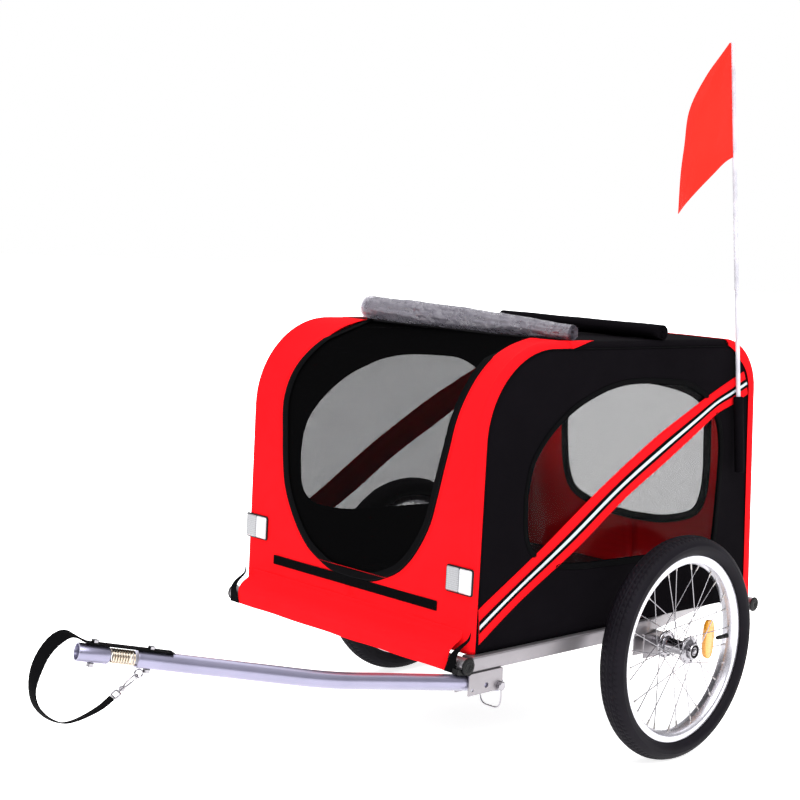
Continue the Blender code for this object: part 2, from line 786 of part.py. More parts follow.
def build_hub(name, materials, axis):
    bore = AXLE_RADIUS + GAP
    bore_end = HUB_OUTER_END - HUB_END_WALL
    outer_flange = HUB_OUTER_END - HUB_OUTER_FLANGE_INSET
    inner_flange = -HUB_INNER_END + HUB_INNER_FLANGE_INSET
    thick = HUB_FLANGE_THICKNESS
    barrel = HUB_BARREL_RADIUS
    flange = HUB_FLANGE_RADIUS
    profile = (
        (0, HUB_OUTER_END), (barrel * 0.75, HUB_OUTER_END),
        (barrel, HUB_OUTER_END - HUB_FILLET), (barrel, outer_flange + HUB_FILLET),
        (flange, outer_flange), (flange, outer_flange - thick),
        (barrel + EDGE, outer_flange - thick - HUB_FILLET), (barrel, 0),
        (barrel + EDGE, inner_flange + thick + HUB_FILLET),
        (flange, inner_flange + thick), (flange, inner_flange),
        (barrel, inner_flange - HUB_FILLET), (barrel, -HUB_INNER_END),
        (bore, -HUB_INNER_END), (bore, bore_end), (0, bore_end),
    )
    hub = add_turned(name + "_hub", profile, materials["bright"], axis, steps=24)
    flange_heights = (outer_flange - thick / 2, inner_flange + thick / 2)
    unite(hub, spoke_set(name + "_spokes", flange_heights, axis))


def spoke_set(name, flange_heights, axis):
    """Crossed spokes: each pair leaves its flange both ways round the hub."""
    bm = bmesh.new()
    step = 2 * pi / SPOKES
    hole_radius = HUB_FLANGE_RADIUS - SPOKE_HOLE_INSET
    rim_radius = RIM_INNER_RADIUS - SPOKE_RIM_CLEARANCE
    for index in range(SPOKES):
        height = flange_heights[index % 2]
        way = 1 if (index // 2) % 2 == 0 else -1
        rim_angle = (index + 0.5) * step
        hub_angle = rim_angle - way * SPOKE_LACING * step
        start = Vector((
            hole_radius * cos(hub_angle), hole_radius * sin(hub_angle),
            height + way * SPOKE_HUB_STAGGER
        ))
        rim_side = 1 if height > 0 else -1
        end = Vector((
            rim_radius * cos(rim_angle), rim_radius * sin(rim_angle),
            rim_side * SPOKE_RIM_OFFSET + way * SPOKE_RIM_STAGGER
        ))
        along = end - start
        turn = along.to_track_quat("Z", "Y").to_matrix().to_4x4()
        place = Matrix.Translation((start + end) / 2) @ turn
        bmesh.ops.create_cone(
            bm, cap_ends=True, segments=6, radius1=SPOKE_RADIUS, radius2=SPOKE_RADIUS,
            depth=along.length, matrix=place
        )
    return add_object(name, mesh_from(bm, name), None, axis)


def build_axle(name, side, materials, root):
    """Stub axle and the folded bracket that holds it under the rail."""
    rail_bottom = RAIL_HEIGHT - RAIL_SIZE / 2
    outer = RAIL_OUTER_FACE
    inner = outer - RAIL_SIZE
    top = rail_bottom - GAP
    outline = (
        (inner, AXLE_BRACKET_BOTTOM), (inner + SHEET, AXLE_BRACKET_BOTTOM),
        (inner + SHEET, top - SHEET), (outer - SHEET, top - SHEET),
        (outer - SHEET, AXLE_BRACKET_BOTTOM), (outer, AXLE_BRACKET_BOTTOM),
        (outer, top), (inner, top),
    )
    outline = [(side * y, z) for y, z in outline]
    middle = AXLE_BRACKET_FRONT - AXLE_BRACKET_LENGTH / 2
    bracket = as_mesh(add_plate(
        name + "_axle_bracket", [outline], AXLE_BRACKET_LENGTH, materials["steel"], root,
        (middle, 0, 0), (pi / 2, 0, pi / 2)
    ))
    cut(bracket, add_cylinder(
        name + "_axle_hole", AXLE_RADIUS + GAP, 3 * RAIL_SIZE, root,
        (0, side * (inner + outer) / 2, TYRE_RADIUS), (pi / 2, 0, 0), sides=24
    ))
    hub_face = WHEEL_TRACK / 2 - HUB_INNER_END - GAP
    end = WHEEL_TRACK / 2 + HUB_OUTER_END - HUB_END_WALL - GAP
    collar = AXLE_COLLAR_RADIUS
    shank = AXLE_RADIUS
    profile = (
        (0, end), (shank - EDGE, end), (shank, end - EDGE), (shank, hub_face),
        (collar, hub_face), (collar, outer + GAP), (shank, outer + GAP),
        (shank, inner - GAP), (collar, inner - GAP), (collar, inner - AXLE_COLLAR),
        (0, inner - AXLE_COLLAR),
    )
    add_turned(
        name + "_axle", profile, materials["bright"], root, (0, 0, TYRE_RADIUS),
        (-side * pi / 2, 0, 0)
    )


def rail_outline(side):
    """Plan of one rail: straight from the front tube, then bent inwards behind the axle."""
    front = FRONT_TUBE_X - CROSS_TUBE_RADIUS - GAP
    rear = REAR_TUBE_X + CROSS_TUBE_RADIUS + GAP
    outer = RAIL_OUTER_FACE
    inner = outer - RAIL_SIZE
    bend_radius = RAIL_BEND_RADIUS
    turn = RAIL_BEND_ANGLE
    reach = bend_radius * tan(turn / 2)
    outer_arc = arc_points(
        (RAIL_BEND_X + reach, inner - bend_radius), bend_radius + RAIL_SIZE,
        pi / 2, pi / 2 + turn, 4
    )
    inner_arc = arc_points(
        (RAIL_BEND_X + reach, inner - bend_radius), bend_radius, pi / 2 + turn, pi / 2, 4
    )
    outer_end = outer_arc[-1][1] - (outer_arc[-1][0] - rear) * tan(turn)
    inner_end = inner_arc[0][1] - (inner_arc[0][0] - rear) * tan(turn)
    outline = [(front, outer), *outer_arc, (rear, outer_end)]
    outline += [(rear, inner_end), *inner_arc, (front, inner)]
    return [(x, side * y) for x, y in outline]


def build_rail(name, side, materials, root):
    rail = as_mesh(add_plate(
        name + "_rail", [rail_outline(side)], RAIL_SIZE, materials["steel"], root,
        (0, 0, RAIL_HEIGHT), (0, 0, 0)
    ))
    modifier = rail.modifiers.new("rounded edges", "BEVEL")
    modifier.width = RAIL_EDGE
    modifier.segments = 2
    modifier.angle_limit = radians(60)


def build_cross_tube(name, x, materials, root):
    inner = CROSS_TUBE_RADIUS - CROSS_TUBE_WALL
    half = CROSS_TUBE_HALF
    profile = (
        (CROSS_TUBE_RADIUS, half), (CROSS_TUBE_RADIUS, -half), (inner, -half), (inner, half),
    )
    tube = add_turned(
        name + "_cross_tube", profile, materials["steel"], root, (x, 0, RAIL_HEIGHT),
        (pi / 2, 0, 0), steps=24, closed=True
    )
    plug = inner - GAP
    cap_profile = (
        (0, CAP_THICKNESS + GAP), (CAP_RADIUS - EDGE, CAP_THICKNESS + GAP),
        (CAP_RADIUS, CAP_THICKNESS - EDGE), (CAP_RADIUS, GAP), (plug, GAP),
        (plug, -CAP_PLUG), (0, -CAP_PLUG),
    )
    for side, label in ((1, "_left"), (-1, "_right")):
        add_turned(
            name + label + "_cap", cap_profile, materials["plastic"], root,
            (x, side * half, RAIL_HEIGHT), (-side * pi / 2, 0, 0), steps=24
        )
    return tube


def button_profile(crown, rounding):
    return (
        (0, crown), (BUTTON_RADIUS * 0.6, crown - rounding[0]),
        (BUTTON_RADIUS, crown - rounding[1]), (BUTTON_RADIUS, BUTTON_BASE), (0, BUTTON_BASE),
    )


def build_tube_buttons(front_tube, materials, root):
    """Spring buttons of the front cross tube, which slide into it along X."""
    for side, label in ((1, "left"), (-1, "right")):
        place = (FRONT_TUBE_X, side * TUBE_BUTTON_Y, RAIL_HEIGHT)
        cut(front_tube, add_cylinder(
            label + "_button_hole", BUTTON_RADIUS + GAP, CROSS_TUBE_RADIUS,
            root, (FRONT_TUBE_X + CROSS_TUBE_RADIUS, place[1], place[2]), (0, pi / 2, 0)
        ))
        add_turned(
            label + "_tube_button",
            button_profile(CROSS_TUBE_RADIUS + BUTTON_RISE, BUTTON_CROWN),
            materials["bright"], root, place, (0, pi / 2, 0), steps=16
        )


def build_tow_bracket(materials, root):
    """Folded bracket under the front of the left rail, with the holes of the tow bar."""
    top = RAIL_HEIGHT - RAIL_SIZE / 2 - GAP
    middle = RAIL_OUTER_FACE - RAIL_SIZE / 2
    inside = BAR_RADIUS + GAP
    outside = inside + SHEET
    outline = (
        (middle - outside, BRACKET_BOTTOM), (middle - inside, BRACKET_BOTTOM),
        (middle - inside, top - SHEET), (middle + inside, top - SHEET),
        (middle + inside, BRACKET_BOTTOM), (middle + outside, BRACKET_BOTTOM),
        (middle + outside, top), (middle - outside, top),
    )
    length = BRACKET_FRONT - BRACKET_REAR
    bracket = as_mesh(add_plate(
        "tow_bracket", [outline], length, materials["steel"], root,
        ((BRACKET_FRONT + BRACKET_REAR) / 2, 0, 0), (pi / 2, 0, pi / 2)
    ))
    holes = (
        ("pin_hole", PIN_X, PIN_Z, PIN_RADIUS + GAP),
        ("button_hole", *bar_button_place(), BUTTON_RADIUS + GAP),
        ("spare_hole", *EMPTY_HOLE, EMPTY_HOLE_RADIUS),
    )
    for name, x, z, radius in holes:
        cut(bracket, add_cylinder(
            name, radius, 4 * outside, root, (x, middle, z), (pi / 2, 0, 0)
        ))
    cut(bracket, add_cylinder(
        "cap_relief", CAP_RADIUS + 2 * GAP, 4 * outside, root,
        (FRONT_TUBE_X, middle, RAIL_HEIGHT), (pi / 2, 0, 0), sides=48
    ))
    build_bumper(materials, root)


def build_bumper(materials, root):
    """Rubber wedge under the front cross tube, beside its button, over the tow bar."""
    slope = bar_slope()
    along = (FRONT_TUBE_X + BUMPER_AHEAD - PIN_X) / cos(slope)
    above = BAR_RADIUS + BUMPER_CLEARANCE + BUMPER_HEIGHT / 2
    y = TUBE_BUTTON_Y + BUTTON_RADIUS + BUMPER_BESIDE_BUTTON + BUMPER_WIDTH / 2
    bumper = add_box(
        "bar_bumper", (BUMPER_LENGTH, BUMPER_WIDTH, BUMPER_HEIGHT), materials["plastic"], root,
        (PIN_X + along * cos(slope) - above * sin(slope), y,
         PIN_Z + along * sin(slope) + above * cos(slope)), (0, -slope, 0)
    )
    cut(bumper, add_cylinder(
        "bumper_seat", CROSS_TUBE_RADIUS + GAP, 2 * BUMPER_WIDTH, root,
        (FRONT_TUBE_X, y, RAIL_HEIGHT), (pi / 2, 0, 0), sides=48
    ))


def bar_slope():
    return atan2(BAR_BEND[1] - PIN_Z, BAR_BEND[0] - PIN_X)


def bar_button_place():
    slope = bar_slope()
    return (PIN_X + BAR_BUTTON_ALONG * cos(slope), PIN_Z + BAR_BUTTON_ALONG * sin(slope))


def build_lock_pin(materials, root):
    """The pin that the tow bar turns on, and the wire bail that keeps it in."""
    middle = RAIL_OUTER_FACE - RAIL_SIZE / 2
    plate_face = BAR_RADIUS + GAP + SHEET
    head = plate_face + GAP
    tail = -(plate_face + PIN_TAIL)
    profile = (
        (0, head + PIN_HEAD), (PIN_HEAD_RADIUS * 0.8, head + PIN_HEAD),
        (PIN_HEAD_RADIUS, head + PIN_HEAD - EDGE), (PIN_HEAD_RADIUS, head),
        (PIN_RADIUS, head), (PIN_RADIUS, tail + PIN_TIP), (PIN_RADIUS * 0.6, tail), (0, tail),
    )
    add_turned(
        "lock_pin", profile, materials["bright"], root, (PIN_X, middle, PIN_Z),
        (-pi / 2, 0, 0), steps=16
    )
    bail_axis = new_empty("lock_bail_axis", root, (PIN_X, middle, PIN_Z))
    outer = head + BAIL_IN_HEAD
    inner = tail + BAIL_IN_TAIL
    short = BAIL_BEND * 0.3
    path = [
        (0, outer, -PIN_HEAD_RADIUS - GAP), (0, outer, -BAIL_DROP * 0.80),
        (0, outer - short, -BAIL_DROP * 0.95), (0, outer - BAIL_BEND, -BAIL_DROP),
        (0, inner + BAIL_BEND, -BAIL_DROP), (0, inner + short, -BAIL_DROP * 0.95),
        (0, inner, -BAIL_DROP * 0.80), (0, inner, -PIN_RADIUS - GAP),
    ]
    add_tube("lock_bail", path, BAIL_WIRE, materials["bright"], bail_axis)


def build_tow_bar(materials, root):
    """Tow bar on the lock pin, with the spring, the strap and the coupler at its front."""
    middle = RAIL_OUTER_FACE - RAIL_SIZE / 2
    pivot = new_empty("tow_bar_axis", root, (PIN_X, middle, PIN_Z))
    bend = Vector((BAR_BEND[0] - PIN_X, 0, BAR_BEND[1] - PIN_Z))
    front = new_empty(
        "bar_front", pivot, bend, (0, -BAR_FRONT_RISE, BAR_FRONT_YAW)
    )
    build_bar_tube(bend, materials, pivot)
    build_bar_button(materials, pivot)
    build_spring(materials, front)
    build_rear_bolt(materials, front)
    build_snap_hook(materials, front)
    build_strap(materials, front)
    flex = new_empty("coupler_axis", front, ((SPRING_START + SPRING_END) / 2, 0, 0))
    build_coupler(materials, flex)


def build_bar_tube(bend, materials, pivot):
    first = bend.normalized()
    forward = Vector((
        cos(BAR_FRONT_RISE) * cos(BAR_FRONT_YAW), cos(BAR_FRONT_RISE) * sin(BAR_FRONT_YAW),
        sin(BAR_FRONT_RISE)
    ))
    start = bend - first * BAR_BEND_LENGTH
    end = bend + forward * BAR_BEND_LENGTH
    path = [-first * BAR_RADIUS, first * BAR_BORE_DEPTH]
    for index in range(7):
        t = index / 6
        path.append(start * (1 - t) ** 2 + bend * 2 * t * (1 - t) + end * t ** 2)
    path.append(bend + forward * SPRING_START)
    tube = as_mesh(add_tube("tow_bar_tube", path, BAR_RADIUS, materials["steel"], pivot,
                            resolution=4))
    slope = bar_slope()
    depth = BAR_BORE_DEPTH + BAR_RADIUS
    cut(tube, add_cylinder(
        "bar_bore", BAR_BORE, depth, pivot, first * (depth / 2 - BAR_RADIUS * 2),
        (0, pi / 2 - slope, 0), sides=20
    ))
    cut(tube, add_cylinder(
        "bar_pin_hole", PIN_RADIUS + GAP, 4 * BAR_RADIUS, pivot, (0, 0, 0), (pi / 2, 0, 0)
    ))
    cut(tube, add_cylinder(
        "bar_button_hole", BUTTON_RADIUS + GAP, BAR_RADIUS, pivot,
        first * BAR_BUTTON_ALONG + Vector((0, BAR_RADIUS, 0)), (pi / 2, 0, 0)
    ))
    along = Matrix.Rotation(BAR_FRONT_YAW, 3, "Z") @ Matrix.Rotation(-BAR_FRONT_RISE, 3, "Y")
    cut(tube, add_cylinder(
        "bar_bolt_hole", BOLT_RADIUS + GAP, 4 * BAR_RADIUS, pivot,
        bend + forward * REAR_BOLT, along.to_euler(), sides=12
    ))


def build_bar_button(materials, pivot):
    slope = bar_slope()
    place = (BAR_BUTTON_ALONG * cos(slope), 0, BAR_BUTTON_ALONG * sin(slope))
    add_turned(
        "tow_bar_button", button_profile(BAR_RADIUS, BAR_BUTTON_CROWN), materials["bright"],
        pivot, place, (-pi / 2, 0, 0), steps=16
    )


def spring_points():
    """Straight wire ends that meet the tubes square, and the turns between them."""
    start = SPRING_START + GAP
    end = SPRING_END - GAP
    lead = 2 * SPRING_WIRE
    per_turn = 9
    count = SPRING_TURNS * per_turn
    points = [(start, 0, -SPRING_RADIUS), (start + lead * 0.75, 0, -SPRING_RADIUS)]
    coil_start = start + lead + EDGE
    coil_end = end - lead - EDGE
    for index in range(count + 1):
        angle = -pi / 2 + 2 * pi * index / per_turn
        along = coil_start + (coil_end - coil_start) * index / count
        points.append((along, SPRING_RADIUS * cos(angle), SPRING_RADIUS * sin(angle)))
    points += [(end - lead * 0.75, 0, -SPRING_RADIUS), (end, 0, -SPRING_RADIUS)]
    pitch = (coil_end - coil_start) / SPRING_TURNS
    print("least gap between spring turns, mm:", round((pitch - 2 * SPRING_WIRE) * 1000, 3))
    return points


def build_spring(materials, front):
    add_tube("coupler_spring", spring_points(), SPRING_WIRE, materials["bright"], front,
             resolution=1)


def bolt_profile():
    head = STRAP_FLAT + STRAP_THICKNESS / 2 + GAP
    nut = -BAR_RADIUS - GAP
    return (
        (0, head + BOLT_HEAD), (BOLT_HEAD_RADIUS, head + BOLT_HEAD), (BOLT_HEAD_RADIUS, head),
        (BOLT_RADIUS, head), (BOLT_RADIUS, nut), (BOLT_HEAD_RADIUS, nut),
        (BOLT_HEAD_RADIUS, nut - NUT), (0, nut - NUT),
    )


def ring_points(centre, radius, across, up, count):
    points = []
    for index in range(count):
        angle = 2 * pi * index / count
        points.append(centre + across * (radius * cos(angle)) + up * (radius * sin(angle)))
    return points


def eye_centre():
    return Vector((REAR_BOLT + EYE_AHEAD, 0, -BAR_RADIUS - EYE_RADIUS - EYE_WIRE - GAP))


def build_rear_bolt(materials, front):
    """Rear bolt of the strap, with the eye that the snap hook clips into."""
    bolt = add_turned("rear_strap_bolt", bolt_profile(), materials["bright"], front,
                      (REAR_BOLT, 0, 0), steps=6)
    centre = eye_centre()
    ring = ring_points(centre, EYE_RADIUS, Vector((1, 0, 0)), Vector((0, 0, 1)), 16)
    eye = add_tube("strap_eye", ring, EYE_WIRE, None, front, cyclic=True, resolution=1)
    unite(bolt, as_mesh(eye))


def hook_frame():
    """Start of the snap hook and the direction in which it hangs from the eye."""
    down = Vector((HOOK_HANG[0], 0, HOOK_HANG[1])).normalized()
    start = eye_centre() + down * (EYE_RADIUS - EYE_WIRE - HOOK_WIRE - GAP)
    return start, down


def stadium(start, along, across, length, width, count=6):
    """Closed path of two straight sides and two half rounds."""
    radius = width / 2
    points = []
    rounds = ((start + along * radius, pi / 2), (start + along * (length - radius), -pi / 2))
    for centre, first in rounds:
        for index in range(count + 1):
            angle = first + pi * index / count
            points.append(
                centre + along * (radius * cos(angle)) + across * (radius * sin(angle))
            )
    return points


def build_snap_hook(materials, front):
    start, down = hook_frame()
    across = Vector((0, 1, 0))
    loop = stadium(start, down, across, HOOK_LENGTH, HOOK_WIDTH)
    hook = as_mesh(add_tube("snap_hook", loop, HOOK_WIRE, materials["bright"], front,
                            cyclic=True, resolution=1))
    ring_start = start + down * (HOOK_LENGTH - HOOK_WIRE * 0.4)
    half = across * (STRAP_RING_WIDTH / 2)
    far = down * STRAP_RING_LENGTH
    corners = [ring_start - half, ring_start + half, ring_start + half + far,
               ring_start - half + far]
    ring = add_tube("strap_ring", corners, HOOK_WIRE, None, front, cyclic=True, resolution=1)
    unite(hook, as_mesh(ring))


def strap_points():
    start, down = hook_frame()
    reach = HOOK_LENGTH - HOOK_WIRE * 0.4 + STRAP_RING_LENGTH + HOOK_WIRE
    end = start + down * (reach + STRAP_RING_CLEARANCE)
    knots = [(along, 0, above) for along, above in STRAP_PATH]
    flat = [Vector(knots[0]), Vector(((REAR_BOLT + FRONT_BOLT) / 2, 0, knots[0][2]))]
    curved = smooth_path(knots[1:] + [tuple(end)], 40)
    return flat + curved


def build_strap(materials, front):
    """Safety strap: flat webbing under both bolts, over the coupler and back to the hook."""
    bm = bmesh.new()
    rows = []
    for point in strap_points():
        rows.append([
            bm.verts.new(point + Vector((0, -STRAP_WIDTH / 2, 0))),
            bm.verts.new(point + Vector((0, STRAP_WIDTH / 2, 0))),
        ])
    grid_faces(bm, rows)
    strap = add_object("safety_strap", mesh_from(bm, "safety_strap"), materials["black"], front)
    modifier = strap.modifiers.new("thickness", "SOLIDIFY")
    modifier.thickness = STRAP_THICKNESS
    modifier.offset = 0.0
    for label, along in (("rear", REAR_BOLT), ("front", FRONT_BOLT)):
        cut(strap, add_cylinder(
            "strap_hole_" + label, BOLT_RADIUS + GAP, 3 * STRAP_THICKNESS, front,
            (along, 0, STRAP_FLAT), (0, 0, 0), sides=12
        ))


def build_coupler(materials, flex):
    """Front tube of the tow bar, open at its tip, with the front bolt of the strap."""
    start = (SPRING_END - SPRING_START) / 2
    end = COUPLER_LENGTH
    bore_start = end - COUPLER_BORE_DEPTH
    profile = (
        (0, bore_start), (BAR_BORE, bore_start), (BAR_BORE, end), (BAR_RADIUS, end),
        (BAR_RADIUS, 0), (0, 0),
    )
    tube = add_turned("coupler_tube", profile, materials["steel"], flex,
                      (start, 0, 0), (0, pi / 2, 0), steps=20)
    bolt_x = FRONT_BOLT - (SPRING_START + SPRING_END) / 2
    cut(tube, add_cylinder(
        "coupler_bolt_hole", BOLT_RADIUS + GAP, 4 * BAR_RADIUS, flex, (bolt_x, 0, 0), sides=12
    ))
    add_turned("front_strap_bolt", bolt_profile(), materials["bright"], flex,
               (bolt_x, 0, 0), steps=6)


def build_cabin(materials, root):
    build_floor(materials, root)
    build_hoops(materials, root)
    build_front(materials, root)
    add_roof_panel(materials["red"], root)
    build_rear(materials, root)
    for side, label in ((1, "left"), (-1, "right")):
        build_side(label, side, materials, root)
    build_front_trim(materials, root)
    build_rolls(materials, root)


def rounded_rectangle(low, high, radius, count=5):
    """Closed outline of a rectangle between two corners, with round corners."""
    outline = []
    corners = (
        (high[0], high[1], 0), (low[0], high[1], pi / 2),
        (low[0], low[1], pi), (high[0], low[1], 3 * pi / 2),
    )
    for x, y, first in corners:
        centre = (
            x - radius if x == high[0] else x + radius,
            y - radius if y == high[1] else y + radius,
        )
        outline += arc_points(centre, radius, first, first + pi / 2, count)
    return outline


def build_floor(materials, root):
    bottom = FRAME_TOP + GAP
    front = CABIN_FRONT - FABRIC - GAP
    rear = REAR_BOTTOM_X + FABRIC + FLOOR_REAR_CLEARANCE
    half = CABIN_HALF_WIDTH - SIDE_FABRIC - GAP - WINDOW_FILM
    outline = rounded_rectangle((rear, -half), (front, half), FLOOR_CORNER)
    add_plate(
        "floor_board", [outline], FLOOR_THICKNESS, materials["plastic"], root,
        (0, 0, bottom + FLOOR_THICKNESS / 2), (0, 0, 0)
    )


def build_hoops(materials, root):
    """Bent rods inside the long edges of the cabin, standing on the floor board."""
    inset = CORNER + HOOP_RADIUS + HOOP_CLEARANCE
    lean = (REAR_ARC_X - REAR_ARC - REAR_BOTTOM_X) / (REAR_ARC_CENTRE[1] - CABIN_BOTTOM)
    floor_top = FRAME_TOP + GAP + FLOOR_THICKNESS + GAP
    foot = floor_top + HOOP_RADIUS * lean
    y = CABIN_HALF_WIDTH - SIDE_FABRIC - WINDOW_FILM - 2 * GAP - HOOP_RADIUS
    for side, label in ((1, "left"), (-1, "right")):
        path = []
        for station in profile_stations():
            x, z = station.inset(inset)
            path.append((x, side * y, max(z, foot)))
        add_tube(label + "_hoop", path, HOOP_RADIUS, materials["plastic"], root)


def build_front(materials, root):
    stations = front_stations()
    add_open_panel("front_panel", stations, FRONT_OPENING, materials["red"], root)
    netted = [Station(CABIN_FRONT, FRONT_OPENING[0][0] - LAP, -1.0, 0.0)]
    netted += [station for station in stations if station.z >= FRONT_OPENING[0][0]]
    add_skin(
        "front_net", netted, lambda place: interpolate(FRONT_OPENING, place.z) + LAP, 9, NET,
        FABRIC + GAP, materials["net"], root
    )
    bm = bmesh.new()
    tube_front = FRONT_TUBE_X + CROSS_TUBE_RADIUS
    path = placed_at(FLAP_TOP, CABIN_FRONT, RAIL_HEIGHT)
    path += placed_at(FLAP_OVER_TUBE, tube_front, RAIL_HEIGHT)
    rows = []
    for x, z in path:
        rows.append([bm.verts.new((x, y, z)) for y in (-FLAP_HALF_WIDTH, 0, FLAP_HALF_WIDTH)])
    grid_faces(bm, rows, flip=True)
    finish_skin(bm, "front_flap", FABRIC, materials["red"], root)


def build_rear(materials, root):
    stations = rear_stations()
    add_open_panel("rear_panel", stations, REAR_OPENING, materials["red"], root)
    top = REAR_OPENING[-1][0]
    bottom = REAR_OPENING[0][0]
    netted = [station for station in stations if bottom <= station.z <= top]
    add_skin(
        "rear_net", netted, lambda place: interpolate(REAR_OPENING, place.z) + LAP, 9, NET,
        FABRIC + GAP, materials["net"], root
    )


def build_side(label, side, materials, root):
    """Black side panel with its clear window, and the band across it."""
    upright = (pi / 2, 0, 0)
    face = CABIN_HALF_WIDTH
    add_plate(
        label + "_side_panel", [profile_outline(CORNER + SEAM), list(SIDE_WINDOW)],
        SIDE_FABRIC, materials["black"], root, (0, side * (face - SIDE_FABRIC / 2), 0), upright
    )
    film_y = face - SIDE_FABRIC - GAP - WINDOW_FILM / 2
    add_plate(
        label + "_window", [grow_outline(SIDE_WINDOW, LAP)], WINDOW_FILM, materials["film"],
        root, (0, side * film_y, 0), upright
    )
    add_plate(
        label + "_band", [BAND_UPPER + BAND_LOWER], BAND_THICKNESS, materials["black"], root,
        (0, side * (face + GAP + BAND_THICKNESS / 2), 0), upright
    )


def build_front_trim(materials, root):
    add_box(
        "hook_and_loop_strip", STRIP_SIZE, materials["black"], root,
        (CABIN_FRONT + GAP + STRIP_SIZE[0] / 2, 0, STRIP_HEIGHT)
    )
    for side, label in ((1, "left"), (-1, "right")):
        add_box(
            label + "_front_reflector", FRONT_REFLECTOR_SIZE, materials["grey"], root,
            (CABIN_FRONT + GAP + FRONT_REFLECTOR_SIZE[0] / 2, side * FRONT_REFLECTOR_AT[0],
             FRONT_REFLECTOR_AT[1]), bevel=EDGE
        )


def build_rolls(materials, root):
    knots = []
    places = (CLEAR_ROLL_ENDS[0], 0.0, CLEAR_ROLL_ENDS[1])
    for behind, y, radius in zip(CLEAR_ROLL_BEHIND, places, CLEAR_ROLL_RADII):
        knots.append((CABIN_FRONT - behind, y, CABIN_TOP + radius + GAP))
    path = smooth_path(knots, 9)
    radii = [point.z - CABIN_TOP - GAP for point in path]
    add_tube("clear_cover_roll", path, radii[0], materials["film"], root, radii=radii)
    height = CABIN_TOP + COVER_ROLL_RADIUS + GAP
    ends = [(COVER_ROLL_X, y, height) for y in COVER_ROLL_ENDS]
    add_tube("roof_cover_roll", ends, COVER_ROLL_RADIUS, materials["black"], root)


def build_flag(materials, root):
    """Sleeve on the rear left corner, and the pole with its pennant that lifts out of it."""
    lean = (Vector(POLE_TOP) - Vector(SLEEVE_TOP)).normalized()
    rotation = lean.to_track_quat("Z", "Y").to_euler()
    bore = POLE_RADIUS + GAP
    floor = -SLEEVE_LENGTH + SLEEVE_FLOOR
    add_turned(
        "flag_sleeve",
        ((bore, 0), (SLEEVE_RADIUS, 0), (SLEEVE_RADIUS, -SLEEVE_LENGTH),
         (0, -SLEEVE_LENGTH), (0, floor), (bore, floor)),
        materials["black"], root, SLEEVE_TOP, rotation, steps=16, closed=True
    )
    axis = new_empty("flag_axis", root, SLEEVE_TOP)
    pole = Vector(POLE_TOP) - Vector(SLEEVE_TOP)
    add_turned(
        "flag_pole",
        ((0, pole.length), (POLE_RADIUS * 0.6, pole.length),
         (POLE_RADIUS, pole.length - POLE_TIP), (POLE_RADIUS, floor + GAP), (0, floor + GAP)),
        materials["white"], axis, (0, 0, 0), rotation, steps=12
    )
    build_pennant(pole, materials, axis)


def build_pennant(pole, materials, axis):
    """Hanging triangular flag: its rows run from the pole to the drooping fly edge."""
    bm = bmesh.new()
    along = pole.normalized()
    top = pole - along * PENNANT_BELOW_TIP
    stand_off = POLE_RADIUS + 2 * GAP
    fly = smooth_path([(x, 0, -drop) for x, drop in PENNANT_FLY], 13)
    rows = []
    for index, edge in enumerate(fly):
        t = index / (len(fly) - 1)
        pole_point = top - along * (PENNANT_HEIGHT * t) + Vector((stand_off, 0, 0))
        fly_point = top + Vector((stand_off + PENNANT_HEM, 0, 0)) + edge
        row = []
        for column in range(7):
            s = column / 6
            sway = PENNANT_FOLD * sin(s * pi * 2.2) * t * s
            droop = PENNANT_DROOP * sin(s * pi * 2) * t
            row.append(bm.verts.new(
                pole_point.lerp(fly_point, s) + Vector((0, sway, droop))
            ))
        rows.append(row)
    grid_faces(bm, rows)
    pennant = add_object("flag_pennant", mesh_from(bm, "flag_pennant"), materials["orange"],
                         axis)
    modifier = pennant.modifiers.new("thickness", "SOLIDIFY")
    modifier.thickness = PENNANT_THICKNESS
    modifier.offset = 0.0


def place_origin(root):
    """Put the origin on the ground under the middle of the trailer's bounding box."""
    bpy.context.view_layer.update()
    graph = bpy.context.evaluated_depsgraph_get()
    corners = []
    for obj in PARTS.objects:
        if obj.type == "EMPTY":
            continue
        evaluated = obj.evaluated_get(graph)
        mesh = evaluated.to_mesh()
        corners += [obj.matrix_world @ vertex.co for vertex in mesh.vertices]
        evaluated.to_mesh_clear()
    low = [min(corner[axis] for corner in corners) for axis in range(3)]
    high = [max(corner[axis] for corner in corners) for axis in range(3)]
    root.location = (-(low[0] + high[0]) / 2, -(low[1] + high[1]) / 2, -low[2])
    bpy.context.view_layer.update()
    print("overall size:", [round(high[axis] - low[axis], 4) for axis in range(3)])
    print("shift of the origin:", [round(value, 5) for value in root.location])


def main():
    global PARTS, CUTTERS
    clear_scene()
    PARTS = new_collection("child bike trailer")
    CUTTERS = new_collection("cutters")
    materials = make_materials()
    root = new_empty("trailer")
    for side, label in ((1, "left"), (-1, "right")):
        build_rail(label, side, materials, root)
        build_axle(label, side, materials, root)
        build_wheel(label + "_wheel", side, materials, root)
    front_tube = build_cross_tube("front", FRONT_TUBE_X, materials, root)
    build_cross_tube("rear", REAR_TUBE_X, materials, root)
    build_tube_buttons(front_tube, materials, root)
    build_tow_bracket(materials, root)
    build_lock_pin(materials, root)
    build_tow_bar(materials, root)
    build_cabin(materials, root)
    build_flag(materials, root)
    place_origin(root)


main()
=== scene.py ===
"""Looks of the child bike trailer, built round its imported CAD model.

Lengths are metres. Shapes are worked out in the frame of part.py, where X is measured from the
wheels' axis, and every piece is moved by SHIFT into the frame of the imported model.
"""
from math import atan2, cos, pi, radians, sin, sqrt

import bpy
import numpy as np
from mathutils import Matrix, Vector, noise


